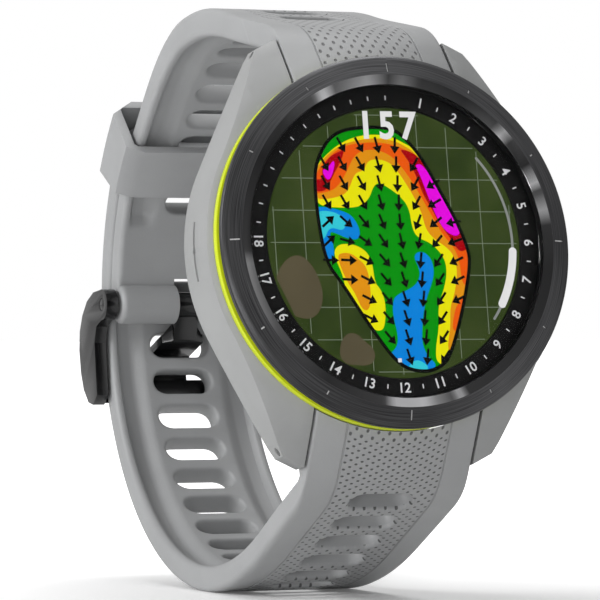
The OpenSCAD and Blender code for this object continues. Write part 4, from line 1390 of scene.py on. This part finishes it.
# %% Finishes for the pieces that keep their mesh
KEEP = {
    black_rubber: ["bezel_gasket", "back_cover_gasket", "button_seals"],
    dark_plastic: ["display_frame", "battery_tray", "charging_socket"],
    board_green: ["main_board", "optical_sensor"],
    tinned_steel: ["board_shields", "vibration_motor", "pressure_sensor", "button_switches"],
    antenna_brass: ["gps_antenna"],
    cell_foil: ["battery"],
    gold_contacts: ["charging_contacts"],
    flex_film: ["button_flex"],
    plain_steel: ["back_cover_screws", "button_bushings", "button_clip_top", "button_clip_middle",
                  "button_clip_bottom", "upper_spring_bar", "upper_release_latch", "upper_latch_spring",
                  "lower_spring_bar", "lower_release_latch", "lower_latch_spring"]}
for mat, nodes in KEEP.items():
    for node in nodes:
        mesh = NODES[node].data
        mesh.materials.clear()
        mesh.materials.append(mat)
print("pieces that keep their mesh:", sum(len(v) for v in KEEP.values()))

# %% [markdown]
# ## Floor, light and camera
# A pale floor meets a white backdrop. Four soft lamps light the watch: a large key from the
# left, a low strip in front for the underside of the band, a weak fill from the right, and a
# wide lamp overhead. Close to the watch the floor hardly glows by itself, so that it keeps the
# shadow; further off it glows fully, so that it joins the backdrop without an edge.

# %% Pale studio
FLOOR_HALF = 3             # metres
SHADOW_FROM, SHADOW_TO = 0.04, 0.12     # metres from the middle: faint glow inside, full glow outside


def seen_directly(tree):
    """1 for rays from the eye and rays that went through the lens, 0 for all others."""
    way = tree.nodes.new("ShaderNodeLightPath")
    return way, sums(tree, "MAXIMUM", way.outputs["Is Camera Ray"], way.outputs["Is Transmission Ray"])


def studio_white(name, tone):
    """Pale floor that takes a shadow near the watch and reads as white further off."""
    mat, tree, shader = blank(name)
    cloudy = grain(tree, 8, 2)
    near = tuple(c * 0.985 for c in tone[:3]) + (1,)
    tree.links.new(ramp(tree, cloudy, [(0.3, near), (0.7, tone)]), shader.inputs["Base Color"])
    shader.inputs["Roughness"].default_value = 0.6
    shader.inputs["Emission Color"].default_value = (1, 1, 1, 1)
    seen = seen_directly(tree)[1]
    place = add(tree, "ShaderNodeTexCoord")
    far = add(tree, "ShaderNodeVectorMath", operation="LENGTH")
    tree.links.new(place.outputs["Object"], far.inputs[0])
    glow = spread(tree, far.outputs["Value"], 0.06, 1.0, SHADOW_FROM, SHADOW_TO, "SMOOTHSTEP")
    tree.links.new(sums(tree, "MULTIPLY", seen, glow), shader.inputs["Emission Strength"])
    return mat


low = min(c[2] for c in cad_box)
corners = [(x * FLOOR_HALF, y * FLOOR_HALF, low) for x, y in ((-1, -1), (1, -1), (1, 1), (-1, 1))]
floor_mesh = bpy.data.meshes.new("studio_floor")
floor_mesh.from_pydata(corners, [], [(0, 1, 2, 3)])
floor_mesh.materials.append(studio_white("pale floor", (0.93, 0.93, 0.93, 1)))
studio_floor = bpy.data.objects.new("studio_floor", floor_mesh)
bpy.context.scene.collection.objects.link(studio_floor)

world = bpy.data.worlds.new("studio")
bpy.context.scene.world = world
world.use_nodes = True
tree = world.node_tree
back = tree.nodes["Background"]
back.inputs["Color"].default_value = (1, 1, 1, 1)
way, seen = seen_directly(tree)
mirrored = sums(tree, "MULTIPLY_ADD", way.outputs["Is Glossy Ray"], 0.35, 0.25)
tree.links.new(sums(tree, "MAXIMUM", mirrored, seen), back.inputs["Strength"])
print("floor at height", round(low, 4), "m")

# %% [markdown]
# ### Lamps and camera
# The lamps are rectangles, each turned to face a point on the watch. The camera looks level,
# turned to one side of the dial, from half a metre away with a long lens.

# %% Lamps and camera
def lamp(name, place, aim, size, watts):
    """A rectangular lamp at place, facing aim, in metres and watts."""
    data = bpy.data.lights.new(name, "AREA")
    data.shape, data.size, data.size_y, data.energy = "RECTANGLE", size[0], size[1], watts
    obj = bpy.data.objects.new(name, data)
    bpy.context.scene.collection.objects.link(obj)
    obj.location = place
    obj.rotation_euler = (Vector(aim) - Vector(place)).to_track_quat("-Z", "Y").to_euler()


lamp("key", (-0.52, -0.02, 0.22), (0, 0, 0), (0.3, 0.3), 2.4)
lamp("low", (-0.28, -0.38, -0.005), (0, 0, -0.03), (0.3, 0.06), 0.45)
lamp("fill", (0.4, -0.35, 0.1), (0, 0, 0), (0.25, 0.35), 0.1)
lamp("top", (0.05, 0.1, 0.5), (0, 0.02, 0), (0.4, 0.3), 1.4)

VIEW_TURN = math.radians(22.62)     # the camera stands this far to the left of straight ahead
EYE_AWAY, EYE_LEFT, EYE_DOWN = 0.5, 0.010777, 0.006529     # metres from the middle of the dial
back_to_eye = Vector((-math.sin(VIEW_TURN), -math.cos(VIEW_TURN), 0))
right = Vector((math.cos(VIEW_TURN), -math.sin(VIEW_TURN), 0))
up = Vector((0, 0, 1))
eye = bpy.data.cameras.new("eye")
eye.lens, eye.sensor_width, eye.clip_start, eye.clip_end = 270.7, 36.0, 0.01, 20
camera = bpy.data.objects.new("eye", eye)
bpy.context.scene.collection.objects.link(camera)
camera.location = DIAL_MIDDLE + back_to_eye * EYE_AWAY - right * EYE_LEFT - up * EYE_DOWN
camera.rotation_euler = (-back_to_eye).to_track_quat("-Z", "Y").to_euler()
bpy.context.scene.camera = camera
bpy.context.scene.view_settings.view_transform = "Standard"
print("camera stands at", [round(c, 3) for c in camera.location])

# %% Print the size of the frame
print("frame box", cad_box)
